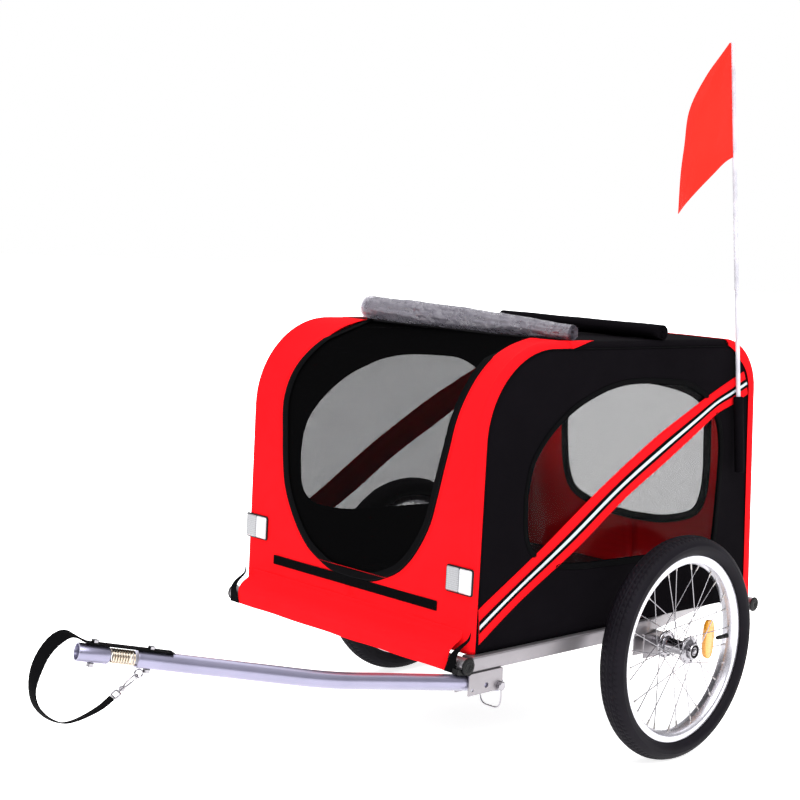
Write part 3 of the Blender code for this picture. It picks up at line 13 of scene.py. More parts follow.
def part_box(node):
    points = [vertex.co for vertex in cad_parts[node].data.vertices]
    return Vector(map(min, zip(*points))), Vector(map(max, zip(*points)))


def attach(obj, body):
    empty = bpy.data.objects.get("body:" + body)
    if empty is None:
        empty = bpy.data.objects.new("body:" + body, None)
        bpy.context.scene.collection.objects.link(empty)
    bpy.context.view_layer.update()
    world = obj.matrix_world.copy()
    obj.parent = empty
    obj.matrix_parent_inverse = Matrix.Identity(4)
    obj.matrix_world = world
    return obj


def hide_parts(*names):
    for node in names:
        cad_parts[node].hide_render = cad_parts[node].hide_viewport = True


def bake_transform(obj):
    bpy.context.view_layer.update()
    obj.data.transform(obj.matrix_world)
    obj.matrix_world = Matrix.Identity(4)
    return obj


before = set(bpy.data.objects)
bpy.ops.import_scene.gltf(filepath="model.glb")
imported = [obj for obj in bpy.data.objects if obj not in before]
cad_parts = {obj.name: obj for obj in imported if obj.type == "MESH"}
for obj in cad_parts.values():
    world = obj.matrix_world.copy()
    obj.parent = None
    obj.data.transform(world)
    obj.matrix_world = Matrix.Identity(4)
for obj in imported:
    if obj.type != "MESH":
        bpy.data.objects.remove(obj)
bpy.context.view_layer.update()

tyre_low, tyre_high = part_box("left_wheel_tyre")
SHIFT = Vector(((tyre_low.x + tyre_high.x) / 2, 0, 0))

# Cabin, as in part.py
FRONT = 0.470
TOP = 0.738
BOTTOM = 0.2412
FRONT_ARC = 0.160
REAR_ARC = 0.100
REAR_ARC_X = -0.178
REAR_FOOT_X = -0.311
HALF = 0.287
CORNER = 0.012
FLAT = HALF - CORNER
ROOF_FRONT_X = 0.268
CORNER_CLOTH_TOP = 0.2779
CORNER_CLOTH_FOOT = 0.2629
STRIP_TOP = 0.330
STRIP_MIDDLE = 0.305
REFLECTOR_Y = 0.257
REFLECTOR_Z = 0.357
EDGE_LAP = 0.016
EDGE_TAPER = 0.050
POINT_LENGTH = 0.072
POINT_LAP = 0.012
ROLL_GAP = 0.0006
PANEL_CLOTH = 0.0013
SIDES = ((1, "left"), (-1, "right"))
SAG_START = 0.21
SAG_END = 0.615
SAG_DEPTH = 0.036
SAG_SKEW = 1.6
FRONT_OPENING = (
    (0.313, 0.0), (0.317, 0.050), (0.330, 0.085), (0.346, 0.115), (0.372, 0.142),
    (0.405, 0.165), (0.440, 0.182), (0.480, 0.192), (0.530, 0.201), (0.584, 0.210),
    (0.650, 0.213), (0.690, 0.210), (0.720, 0.205),
)
REAR_OPENING = (
    (0.358, 0.0), (0.362, 0.070), (0.376, 0.125), (0.392, 0.155), (0.425, 0.170),
    (0.470, 0.176), (0.530, 0.177), (0.580, 0.176), (0.605, 0.165), (0.622, 0.130),
    (0.631, 0.070), (0.634, 0.0),
)
SIDE_WINDOW = (
    (0.359, 0.485), (0.354, 0.428), (0.342, 0.400), (0.312, 0.376), (0.259, 0.363),
    (0.194, 0.356), (0.045, 0.352), (-0.080, 0.348), (-0.160, 0.345), (-0.176, 0.360),
    (-0.181, 0.508), (-0.174, 0.565), (-0.157, 0.600), (-0.125, 0.632), (-0.090, 0.650),
    (-0.049, 0.662), (0.036, 0.668), (0.105, 0.668), (0.160, 0.660), (0.207, 0.646),
    (0.248, 0.629), (0.287, 0.605), (0.320, 0.577), (0.347, 0.541), (0.356, 0.505),
)
BAND_UPPER = (
    (0.458, 0.313), (0.435, 0.327), (0.314, 0.397), (0.164, 0.491), (0.030, 0.565),
    (-0.056, 0.605), (-0.133, 0.639), (-0.185, 0.660), (-0.232, 0.678),
)
BAND_LOWER = (
    (0.453, 0.256), (0.357, 0.317), (0.224, 0.388), (0.105, 0.462), (-0.005, 0.519),
    (-0.097, 0.569), (-0.156, 0.602), (-0.203, 0.617), (-0.251, 0.635),
)

# Frame and wheels, as in part.py
WHEEL_Y = 0.349
TYRE_RADIUS = 0.200
TYRE_OUTLINE = (
    (0.1670, 0.0140), (0.1684, 0.0180), (0.1726, 0.0222), (0.1785, 0.0247),
    (0.1850, 0.0243), (0.1908, 0.0214), (0.1952, 0.0168), (0.1981, 0.0106),
    (0.1996, 0.0046), (0.2000, 0.0),
)
TREAD_BLOCKS = 108
SPOKES = 28
# Spaces between spokes, from a spoke's end in the rim round to its head in the flange
SPOKE_LACING = 6
SPOKE_RADIUS = 0.0009
HEAD_RADIUS = 0.0019
RIM_RADIUS = 0.1662
RIM_INNER = 0.1486
RIM_HALF = 0.015
HUB_OUTER = 0.038
HUB_INNER = 0.032
OUTER_FLANGE = HUB_OUTER - 0.013
INNER_FLANGE = -HUB_INNER + 0.004
FLANGE_RADIUS = 0.0245
BARREL_RADIUS = 0.013
RAIL_Z = 0.228
RAIL_HALF = 0.0125
RAIL_Y = 0.2855
FRONT_TUBE_X = 0.486
REAR_TUBE_X = -0.308
TUBE_RADIUS = 0.0125
TUBE_HALF = 0.298
PIN = Vector((0.4125, 0.2855, 0.187))
BAR_BEND = Vector((0.7666, 0.2855, 0.2483))
BAR_RADIUS = 0.0127
BAR_YAW = radians(-15.37)
BAR_RISE = radians(11.1)
SPRING_START = 0.301
SPRING_END = 0.342
SPRING_TURNS = 9
REAR_BOLT = 0.2816
COUPLER_TIP = 0.3855
STRAP_PATH = (
    (0.249, 0.0140), (0.372, 0.0140), (0.382, 0.0170), (0.392, 0.0208), (0.403, 0.0220),
    (0.414, 0.0160), (0.4240, 0.0035), (0.4315, -0.0140), (0.4352, -0.0360),
    (0.4340, -0.0574), (0.4262, -0.0755), (0.4130, -0.0880), (0.3985, -0.0950),
    (0.3835, -0.0977), (0.3680, -0.0935), (0.3500, -0.0830), (0.3340, -0.0705),
    (0.3220, -0.0568),
)
# Line along which the strap goes over from the bar to the coupler
STRAP_FLEX = ((REAR_BOLT, 0.0140), (0.3430, 0.0490))
STRAP_WIDTH = 0.019
STRAP_THICKNESS = 0.0018
# Twist of the strap in degrees, along its length
STRAP_TWIST = ((0.0, 0), (0.36, 0), (0.44, 50), (0.525, 42), (0.65, 12), (0.82, 14), (1.0, 0))
SLEEVE_TOP = Vector((-0.206, 0.2977, 0.632))
POLE_TOP = Vector((-0.166, 0.2563, 1.2765))
POLE_RADIUS = 0.004


# Materials

def node(tree, kind, links=(), **values):
    """Add a shader node; links are (input, node, output) and values are its own settings."""
    made = tree.nodes.new("ShaderNode" + kind)
    for key, value in values.items():
        if hasattr(made, key):
            setattr(made, key, value)
        else:
            made.inputs[key.replace("_", " ")].default_value = value
    for socket, source, output in links:
        tree.links.new(source.outputs[output], made.inputs[socket])
    return made


def start_material(name, roughness=0.5, metallic=0.0, **sockets):
    material = bpy.data.materials.new(name)
    material.use_nodes = True
    tree = material.node_tree
    shader = tree.nodes["Principled BSDF"]
    shader.inputs["Roughness"].default_value = roughness
    shader.inputs["Metallic"].default_value = metallic
    for key, value in sockets.items():
        shader.inputs[key.replace("_", " ")].default_value = value
    return material, tree, shader


def noise_node(tree, scale, detail=3.0, coordinates="Object"):
    place = node(tree, "TexCoord")
    return node(tree, "TexNoise", [("Vector", place, coordinates)], Scale=scale, Detail=detail)


def ramp_node(tree, source, output, stops):
    made = node(tree, "ValToRGB", [("Fac", source, output)])
    ramp = made.color_ramp
    while len(ramp.elements) < len(stops):
        ramp.elements.new(0.5)
    for element, (place, colour) in zip(ramp.elements, stops):
        element.position = place
        element.color = (*colour, 1.0)
    return made


def tint(colour, factor):
    return tuple(min(1.0, channel * factor) for channel in colour)


def weave_height(tree, period):
    """Height of a plain weave: crossed waves that lie right on a plane of any direction."""
    place = node(tree, "TexCoord")
    turns = 2 * pi / period
    scaled = node(tree, "VectorMath", [(0, place, "Object")], operation="MULTIPLY")
    scaled.inputs[1].default_value = (turns, turns, turns)
    wave = node(tree, "VectorMath", [(0, scaled, "Vector")], operation="SINE")
    added = node(tree, "VectorMath", [(0, wave, "Vector")], operation="DOT_PRODUCT")
    added.inputs[1].default_value = (0.33, 0.33, 0.33)
    return added


def cloth(name, colour, period=0.0011, roughness=0.8, variation=0.12, creases=0.25,
          weave=0.35, specular=0.04):
    """Woven cloth: weave and soft creases in its bump, and uneven dye and painted weave shade in
    its colour.
    """
    material, tree, shader = start_material(name, roughness, Specular_IOR_Level=specular)
    dye = noise_node(tree, 9.0, 4.0)
    colours = ramp_node(tree, dye, "Fac", (
        (0.3, tint(colour, 1 - variation)), (0.7, tint(colour, 1 + variation))
    ))
    thread = weave_height(tree, period)
    # The weave's height darkens the colour by up to 14 percent: painted shade of the threads.
    weave_shade = node(tree, "MixRGB", [(0, thread, "Value"), (1, colours, "Color")],
                blend_type="MULTIPLY")
    weave_shade.inputs[2].default_value = (0.86, 0.86, 0.86, 1.0)
    tree.links.new(weave_shade.outputs["Color"], shader.inputs["Base Color"])
    creased = noise_node(tree, 16.0, 2.0)
    big = node(tree, "Bump", [("Height", creased, "Fac")], Strength=creases, Distance=0.004)
    small = node(tree, "Bump", [("Height", thread, "Value"), ("Normal", big, "Normal")],
                 Strength=weave, Distance=0.0003)
    tree.links.new(small.outputs["Normal"], shader.inputs["Normal"])
    return material


def metal(name, colour, roughness=0.3, metallic=1.0, grain=250.0, bumps=0.05, coat=0.0):
    """Metal or metallic paint with faint streaks in its gloss and small dents."""
    material, tree, shader = start_material(
        name, roughness, metallic, Coat_Weight=coat, Coat_Roughness=0.15
    )
    blotch = noise_node(tree, 14.0, 5.0)
    colours = ramp_node(tree, blotch, "Fac", (
        (0.25, tint(colour, 0.88)), (0.75, tint(colour, 1.06))
    ))
    tree.links.new(colours.outputs["Color"], shader.inputs["Base Color"])
    fine = noise_node(tree, grain, 6.0)
    gloss = node(tree, "MapRange", [("Value", fine, "Fac")])
    gloss.inputs["To Min"].default_value = roughness * 0.75
    gloss.inputs["To Max"].default_value = roughness * 1.3
    tree.links.new(gloss.outputs["Result"], shader.inputs["Roughness"])
    dent = node(tree, "Bump", [("Height", fine, "Fac")], Strength=bumps, Distance=0.0004)
    tree.links.new(dent.outputs["Normal"], shader.inputs["Normal"])
    return material


def plastic(name, colour, roughness=0.4, grain=420.0, bumps=0.15, specular=0.25):
    """Moulded plastic or rubber with a fine skin."""
    material, tree, shader = start_material(name, roughness, Specular_IOR_Level=specular)
    cloud = noise_node(tree, 30.0, 4.0)
    colours = ramp_node(tree, cloud, "Fac", (
        (0.3, tint(colour, 0.8)), (0.75, tint(colour, 1.25))
    ))
    tree.links.new(colours.outputs["Color"], shader.inputs["Base Color"])
    skin = noise_node(tree, grain, 4.0)
    bump = node(tree, "Bump", [("Height", skin, "Fac")], Strength=bumps, Distance=0.0004)
    tree.links.new(bump.outputs["Normal"], shader.inputs["Normal"])
    return material


def netting(name, colour, pitch, thread):
    """Open mesh: threads in both directions of the UV map, which is in metres."""
    material, tree, shader = start_material(name, 0.85, Specular_IOR_Level=0.0)
    place = node(tree, "TexCoord")
    wobble = noise_node(tree, 55.0, 2.0, "UV")
    shifted = node(tree, "VectorMath", [(0, wobble, "Color")], operation="SCALE")
    shifted.inputs["Scale"].default_value = pitch * 0.35
    moved = node(tree, "VectorMath", [(0, place, "UV"), (1, shifted, "Vector")],
                 operation="ADD")
    scaled = node(tree, "VectorMath", [(0, moved, "Vector")], operation="MULTIPLY")
    turns = pi / pitch
    scaled.inputs[1].default_value = (turns, turns, turns)
    wave = node(tree, "VectorMath", [(0, scaled, "Vector")], operation="COSINE")
    size = node(tree, "VectorMath", [(0, wave, "Vector")], operation="ABSOLUTE")
    parts = node(tree, "SeparateXYZ", [(0, size, "Vector")])
    most = node(tree, "Math", [(0, parts, "X"), (1, parts, "Y")], operation="MAXIMUM")
    solid = node(tree, "Math", [(0, most, "Value")], operation="GREATER_THAN")
    solid.inputs[1].default_value = thread
    tree.links.new(solid.outputs["Value"], shader.inputs["Alpha"])
    # Each thread is painted lighter along its middle and darker at its sides: painted highlight
    # and shade of a round thread.
    colours = ramp_node(tree, most, "Value", (
        (0.6, tint(colour, 0.6)), (1.0, tint(colour, 1.6))
    ))
    tree.links.new(colours.outputs["Color"], shader.inputs["Base Color"])
    return material


def clear_film(name, colour, cover, ripple=0.2, roughness=0.06, scale=18.0,
               clear=(0.93, 0.93, 0.95), edge_cover=0.55, gloss=0.9):
    """Thin clear film: mostly open, with a glossy skin that is stronger at a low angle."""
    material, tree, shader = start_material(name, roughness, Specular_IOR_Level=gloss)
    waves = noise_node(tree, scale, 3.0)
    bump = node(tree, "Bump", [("Height", waves, "Fac")], Strength=ripple, Distance=0.01)
    haze = ramp_node(tree, waves, "Fac", ((0.3, tint(colour, 0.85)), (0.7, tint(colour, 1.1))))
    tree.links.new(haze.outputs["Color"], shader.inputs["Base Color"])
    tree.links.new(bump.outputs["Normal"], shader.inputs["Normal"])
    edge = node(tree, "LayerWeight", [("Normal", bump, "Normal")], Blend=0.25)
    share = node(tree, "MapRange", [("Value", edge, "Facing")])
    share.inputs["To Min"].default_value = cover
    share.inputs["To Max"].default_value = min(1.0, cover + edge_cover)
    open_part = node(tree, "BsdfTransparent")
    open_part.inputs["Color"].default_value = (*clear, 1.0)
    mixed = node(tree, "MixShader", [
        ("Fac", share, "Result"), (1, open_part, "BSDF"), (2, shader, "BSDF")
    ])
    tree.links.new(mixed.outputs["Shader"], tree.nodes["Material Output"].inputs["Surface"])
    return material


def prismatic(name, colour, cell, roughness=0.2):
    """Reflector plastic with its small cells behind a clear face."""
    material, tree, shader = start_material(name, roughness, Coat_Weight=1.0)
    place = node(tree, "TexCoord")
    cells = node(tree, "TexVoronoi", [("Vector", place, "Object")], Scale=1 / cell,
                 distance="CHEBYCHEV")
    cells.inputs["Randomness"].default_value = 0.15
    # Each cell is painted lighter in its middle and darker at its edges: painted highlight and
    # shade of the prisms.
    colours = ramp_node(tree, cells, "Distance", (
        (0.1, tint(colour, 1.15)), (0.62, tint(colour, 0.62))
    ))
    tree.links.new(colours.outputs["Color"], shader.inputs["Base Color"])
    bump = node(tree, "Bump", [("Height", cells, "Distance")], Strength=0.5, Distance=0.001)
    tree.links.new(bump.outputs["Normal"], shader.inputs["Normal"])
    return material


RED = cloth("red_cloth", (0.82, 0.0065, 0.0105), creases=0.30, variation=0.06,
            specular=0.02)
RED_TRIM = cloth("red_trim", (0.80, 0.0065, 0.0105), period=0.0016, creases=0.08,
                 variation=0.05, specular=0.02)
BLACK = cloth("black_cloth", (0.0036, 0.0030, 0.0040), creases=0.5, specular=0.01)
BLACK_TRIM = cloth("black_trim", (0.0024, 0.0024, 0.0028), period=0.0018, creases=0.1,
                   weave=0.6, specular=0.02)
WEBBING = cloth("black_webbing", (0.0030, 0.0030, 0.0034), period=0.0021, creases=0.05,
                weave=0.9, specular=0.02)
ORANGE = cloth("orange_cloth", (0.90, 0.022, 0.014), period=0.0009, roughness=0.6,
               creases=0.3, variation=0.06)
THREAD_RED = cloth("red_thread", (0.62, 0.006, 0.010), period=0.0006, creases=0.0)
THREAD_BLACK = cloth("black_thread", (0.012, 0.012, 0.014), period=0.0006, creases=0.0)
STRIPE = cloth("reflective_stripe", (0.52, 0.58, 0.62), period=0.0012, roughness=0.35,
               creases=0.02, variation=0.05, weave=0.5, specular=0.5)
NET = netting("black_net", (0.0015, 0.0015, 0.0016), 0.0018, 0.48)
REAR_NET = netting("rear_black_net", (0.0015, 0.0015, 0.0016), 0.0018, 0.62)
FILM = clear_film("window_film", (0.012, 0.012, 0.014), 0.015,
                  clear=(0.95, 0.95, 0.96), edge_cover=0.16, gloss=0.6)
ROLLED_FILM = clear_film("rolled_film", (0.17, 0.16, 0.19), 0.62, 0.9, 0.12, 60.0,
                         (0.72, 0.70, 0.76))
SILVER = metal("silver_paint", (0.26, 0.25, 0.35), 0.32, 0.85, coat=0.3)
FRAME_PAINT = metal("frame_paint", (0.24, 0.225, 0.24), 0.36, 0.75, coat=0.2)
BRIGHT = metal("bright_steel", (0.30, 0.29, 0.31), 0.14, 1.0, bumps=0.02)
DULL = metal("dull_steel", (0.40, 0.38, 0.37), 0.30, 1.0)
ALLOY = metal("alloy", (0.62, 0.61, 0.66), 0.28, 0.95, grain=600.0)
SPRING_STEEL = metal("spring_steel", (0.55, 0.47, 0.38), 0.28, 1.0)
PLASTIC = plastic("black_plastic", (0.004, 0.004, 0.0044), 0.42, specular=0.14)
RUBBER = plastic("tyre_rubber", (0.0048, 0.0038, 0.0064), 0.62, 260.0, 0.35,
                 specular=0.09)
BOARD = plastic("floor_board", (0.012, 0.012, 0.013), 0.6, 90.0, 0.5)
WHITE = plastic("white_pole", (0.50, 0.49, 0.54), 0.35, 300.0, 0.05)
AMBER = prismatic("amber_reflector", (0.95, 0.36, 0.02), 0.0032)
GREY_LENS = prismatic("grey_reflector", (0.24, 0.245, 0.26), 0.0034)
WHITE_LENS = prismatic("white_reflector", (0.52, 0.53, 0.55), 0.0026)
# Near black: the hub seal's own colour, and painted shade for the rings round the button holes.
SEAL_BLACK_AND_HOLE_SHADE = plastic("seal_black_and_hole_shade", (0.004, 0.004, 0.004), 0.8)


# Slot name of each material
SLOTS = {
    material.name: slot for slot, materials in (
        ("red_fabric", (RED, RED_TRIM, THREAD_RED)),
        ("black_fabric", (BLACK, BLACK_TRIM, WEBBING, THREAD_BLACK, STRIPE)),
        ("flag_cloth", (ORANGE,)), ("net", (NET, REAR_NET)), ("clear_film", (FILM, ROLLED_FILM)),
        ("silver_paint", (SILVER, FRAME_PAINT)), ("bright_steel", (BRIGHT, DULL, SPRING_STEEL)),
        ("alloy", (ALLOY,)), ("black_plastic", (PLASTIC, SEAL_BLACK_AND_HOLE_SHADE)), ("tyre_rubber", (RUBBER,)),
        ("white_plastic", (WHITE,)), ("amber_plastic", (AMBER,)),
        ("grey_reflector", (GREY_LENS, WHITE_LENS)),
    ) for material in materials
}


# Shapes

def turned(place, angle, axis):
    """Frame at a place, turned about one of its own axes."""
    return Matrix.Translation(place) @ Matrix.Rotation(angle, 4, axis)


def turns(count):
    """Evenly spaced angles of a full turn."""
    return [2 * pi * index / count for index in range(count)]


def field(rows, columns, at):
    """Rows of points, from a function of two shares that run from 0 to 1."""
    return [[at(row / (rows - 1), column / (columns - 1)) for column in range(columns)]
            for row in range(rows)]


def catmull(points, count):
    """Smooth curve through the points, with an even number of steps in each span."""
    path = [Vector(point) for point in points]
    path = [2 * path[0] - path[1], *path, 2 * path[-1] - path[-2]]
    spans = len(path) - 3
    result = []
    for index in range(count):
        place = index / (count - 1) * spans
        span = min(int(place), spans - 1)
        t = place - span
        before, start, end, after = path[span:span + 4]
        result.append(0.5 * (
            2 * start + (end - before) * t
            + (2 * before - 5 * start + 4 * end - after) * t ** 2
            + (3 * start - before - 3 * end + after) * t ** 3
        ))
    return result


def even(points, count, closed=False):
    """The same line with its points an even distance apart."""
    line = [Vector(point) for point in points]
    if closed:
        line.append(line[0])
    lengths = [0.0]
    for first, second in zip(line, line[1:]):
        lengths.append(lengths[-1] + (second - first).length)
    result = []
    span = 0
    for index in range(count):
        goal = lengths[-1] * index / (count if closed else count - 1)
        while span < len(line) - 2 and lengths[span + 1] < goal:
            span += 1
        part = (goal - lengths[span]) / max(lengths[span + 1] - lengths[span], 1e-9)
        result.append(line[span].lerp(line[span + 1], min(1.0, part)))
    return result


def line_length(points):
    return sum((second - first).length for first, second in zip(points, points[1:]))


def circle(radius, count=16):
    return [(radius * cos(angle), radius * sin(angle)) for angle in turns(count)]


def rounded_box(half_width, half_height, radius, count=4):
    section = []
    corners = ((1, 1, 0), (-1, 1, pi / 2), (-1, -1, pi), (1, -1, 3 * pi / 2))
    for x, y, first in corners:
        for index in range(count + 1):
            angle = first + pi / 2 * index / count
            section.append((
                x * (half_width - radius) + radius * cos(angle),
                y * (half_height - radius) + radius * sin(angle),
            ))
    return section


def line_frames(path, closed, up):
    """Two directions square to the line at each of its points, turned as little as can be."""
    count = len(path)
    ways = []
    for index in range(count):
        before = path[index - 1] if closed or index else path[index]
        after = path[(index + 1) % count] if closed or index < count - 1 else path[index]
        ways.append((after - before).normalized())
    first = Vector(up)
    first = (first - ways[0] * first.dot(ways[0])).normalized()
    result = [(first, ways[0].cross(first))]
    for last, way in zip(ways, ways[1:]):
        turned = last.rotation_difference(way) @ result[-1][0]
        turned = (turned - way * turned.dot(way)).normalized()
        result.append((turned, way.cross(turned)))
    return result


def sweep(path, section, closed=False, up=(0, 0, 1), scales=None, caps=True):
    """Carry a closed section of (across, up) pairs along a path."""
    path = [Vector(point) for point in path]
    verts = []
    faces = []
    count = len(section)
    for index, (point, (rise, across)) in enumerate(zip(path, line_frames(path, closed, up))):
        scale = scales[index] if scales else 1.0
        verts += [point + across * (a * scale) + rise * (b * scale) for a, b in section]
    rings = len(path)
    for ring in range(rings if closed else rings - 1):
        low = ring * count
        high = (ring + 1) % rings * count
        for side in range(count):
            after = (side + 1) % count
            faces.append((low + side, low + after, high + after, high + side))
    if caps and not closed:
        faces.append(tuple(range(count))[::-1])
        faces.append(tuple((rings - 1) * count + side for side in range(count)))
    return verts, faces


def lathe(profile, steps, place=None, closed=False):
    """Turn a profile of (radius, height) pairs about Z; it runs from the top down outside."""
    verts = []
    rows = []
    for radius, height in profile:
        if radius < 1e-7:
            rows.append([len(verts)] * steps)
            verts.append(Vector((0, 0, height)))
        else:
            rows.append(list(range(len(verts), len(verts) + steps)))
            verts += [Vector((x, y, height)) for x, y in circle(radius, steps)]
    faces = []
    pairs = list(zip(rows, rows[1:])) + ([(rows[-1], rows[0])] if closed else [])
    for upper, lower in pairs:
        for step in range(steps):
            after = (step + 1) % steps
            corners = (upper[step], lower[step], lower[after], upper[after])
            corners = tuple(dict.fromkeys(corners))
            if len(corners) > 2:
                faces.append(corners)
    if place is not None:
        verts = [place @ vert for vert in verts]
    return verts, faces


def grid(rows, flip=False, closed=False):
    """Faces over rows of points that all have the same count."""
    verts = [point for row in rows for point in row]
    width = len(rows[0])
    faces = []
    for row in range(len(rows) - 1):
        for column in range(width if closed else width - 1):
            after = (column + 1) % width
            corners = (
                row * width + column, row * width + after,
                (row + 1) * width + after, (row + 1) * width + column,
            )
            faces.append(corners[::-1] if flip else corners)
    return verts, faces


def joined(*shapes):
    verts = []
    faces = []
    for more_verts, more_faces in shapes:
        start = len(verts)
        verts += list(more_verts)
        faces += [tuple(index + start for index in face) for face in more_faces]
    return verts, faces


def placed(shape, matrix):
    verts, faces = shape
    return [matrix @ Vector(vert) for vert in verts], faces


def box_shape(size, place, edge=0.0):
    """Box with chamfered upright edges, lying in its own frame."""
    half_x, half_y, half_z = (value / 2 for value in size)
    outline = rounded_box(half_x, half_y, max(edge, 1e-5), 3)
    inner = rounded_box(half_x - edge * 0.6, half_y - edge * 0.6, max(edge * 0.5, 1e-5), 3)
    levels = (
        (-half_z, inner), (-half_z + edge * 0.6, outline), (half_z - edge * 0.6, outline),
        (half_z, inner),
    )
    rows = [[Vector((x, y, z)) for x, y in section] for z, section in levels]
    verts, faces = grid(rows, closed=True)
    count = len(outline)
    faces.append(tuple(range(count))[::-1])
    faces.append(tuple(3 * count + index for index in range(count)))
    return [place @ vert for vert in verts], faces


def piece(name, shape, material, body="frame", replaces=(), uvs=None, sharp=40.0, thick=None,
          slot=None):
    """Make an object of the shape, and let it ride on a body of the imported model."""
    verts, faces = shape
    mesh = bpy.data.meshes.new(name)
    mesh.from_pydata([Vector(vert) + SHIFT for vert in verts], [], faces)
    mesh.materials.append(material)
    if uvs is not None:
        layer = mesh.uv_layers.new(name="UVMap")
        for loop in mesh.loops:
            layer.data[loop.index].uv = uvs[loop.vertex_index]
    mesh.shade_smooth()
    mesh.set_sharp_from_angle(angle=radians(sharp))
    obj = bpy.data.objects.new(name, mesh)
    bpy.context.scene.collection.objects.link(obj)
    if thick is not None:
        modifier = obj.modifiers.new("thickness", "SOLIDIFY")
        modifier.thickness = thick
        modifier.offset = -1.0
    if body is not None:
        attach(obj, body)
    slot or SLOTS[material.name]
    if replaces:
        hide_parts(*replaces)
    return obj


def stitches(points, normal_of, step=0.0046, length=0.0030, radius=0.00042):
    """A row of thread stitches along a line, each a small rounded bar."""
    line = [Vector(point) for point in points]
    total = line_length(line)
    count = max(2, int(total / step))
    dense = even(line, count * 2 + 1)
    shapes = []
    for index in range(0, count * 2, 2):
        start = dense[index]
        end = dense[index + 1]
        middle = (start + end) / 2
        way = (end - start).normalized()
        up = normal_of(middle)
        half = way * (length / 2)
        path = (
            middle - half - up * radius, middle - half * 0.7 + up * radius * 0.4,
            middle + half * 0.7 + up * radius * 0.4, middle + half - up * radius,
        )
        shapes.append(sweep(path, circle(radius, 5), up=up))
    return joined(*shapes)


def wavy(point, size, scale, seed=0.0):
    """Smooth unevenness of cloth, the same on every run."""
    place = Vector(point) * scale + Vector((seed, seed * 1.7, seed * 2.3))
    return size * noise.noise(place)


# The cabin's skin

def along_front(t):
    """Place and outward direction on the front profile, t metres up from its foot."""
    rise = TOP - FRONT_ARC - BOTTOM
    if t <= rise:
        return FRONT, BOTTOM + t, 1.0, 0.0
    turn = (t - rise) / FRONT_ARC
    if turn <= pi / 2:
        return (FRONT - FRONT_ARC + FRONT_ARC * cos(turn),
                TOP - FRONT_ARC + FRONT_ARC * sin(turn), cos(turn), sin(turn))
    return FRONT - FRONT_ARC - (t - rise - FRONT_ARC * pi / 2), TOP, 0.0, 1.0


def front_t(z):
    rise = TOP - FRONT_ARC - BOTTOM
    if z <= BOTTOM + rise:
        return z - BOTTOM
    lift = min(1.0, (z - BOTTOM - rise) / FRONT_ARC)
    return rise + FRONT_ARC * atan2(lift, sqrt(max(0.0, 1 - lift ** 2)))


FRONT_END = TOP - FRONT_ARC - BOTTOM + FRONT_ARC * pi / 2 + (FRONT - FRONT_ARC - ROOF_FRONT_X)
LEAN = Vector((REAR_FOOT_X - (REAR_ARC_X - REAR_ARC), 0, BOTTOM - (TOP - REAR_ARC)))
REAR_END = REAR_ARC * pi / 2 + LEAN.length


def along_rear(t):
    """The same on the rear profile, t metres back and down from the end of the roof."""
    turn = t / REAR_ARC
    if turn <= pi / 2:
        return (REAR_ARC_X - REAR_ARC * sin(turn), TOP - REAR_ARC + REAR_ARC * cos(turn),
                -sin(turn), cos(turn))
    part = (t - REAR_ARC * pi / 2) / LEAN.length
    way = LEAN.normalized()
    return (REAR_ARC_X - REAR_ARC + LEAN.x * part, TOP - REAR_ARC + LEAN.z * part,
            way.z, -way.x)


def rear_t(z):
    if z >= TOP - REAR_ARC:
        drop = (z - (TOP - REAR_ARC)) / REAR_ARC
        return REAR_ARC * atan2(sqrt(max(0.0, 1 - drop ** 2)), drop)
    return REAR_ARC * pi / 2 + (TOP - REAR_ARC - z) / -LEAN.z * LEAN.length


def along_roof(t):
    return ROOF_FRONT_X - t, TOP, 0.0, 1.0


def front_sag(t, u):
    """How far the loose front cloth hangs in behind its hoops."""
    part = (t - SAG_START) / (SAG_END - SAG_START)
    if not 0.0 < part < 1.0 or abs(u) >= FLAT:
        return 0.0
    return SAG_DEPTH * sin(pi * part ** SAG_SKEW) * (1 - (u / FLAT) ** 2) ** 0.7


def skin(surface, t, u, out=0.0):
    """Point on the cabin: u runs across it, round its long edge and on to its side."""
    x, z, out_x, out_z = surface(t)
    if surface is along_front:
        out -= front_sag(t, u)
    side = 1.0 if u >= 0 else -1.0
    past = abs(u) - FLAT
    if past <= 0:
        y, inset, normal = u, 0.0, Vector((out_x, 0, out_z))
    elif past <= CORNER * pi / 2:
        turn = past / CORNER
        y = side * (FLAT + CORNER * sin(turn))
        inset = CORNER * (1 - cos(turn))
        normal = Vector((out_x * cos(turn), side * sin(turn), out_z * cos(turn)))
    else:
        y = side * HALF
        inset = CORNER + past - CORNER * pi / 2
        normal = Vector((0, side, 0))
    return Vector((x - out_x * inset, y, z - out_z * inset)) + normal * out


EDGE_U = FLAT + CORNER * pi / 2


def smooth_opening(table, t_of, count):
    """Half of an opening's outline as (t, half width), smoothed and evenly spaced."""
    points = [Vector((t_of(z), width, 0)) for z, width in table]
    return even(catmull(points, 12 * len(points)), count)


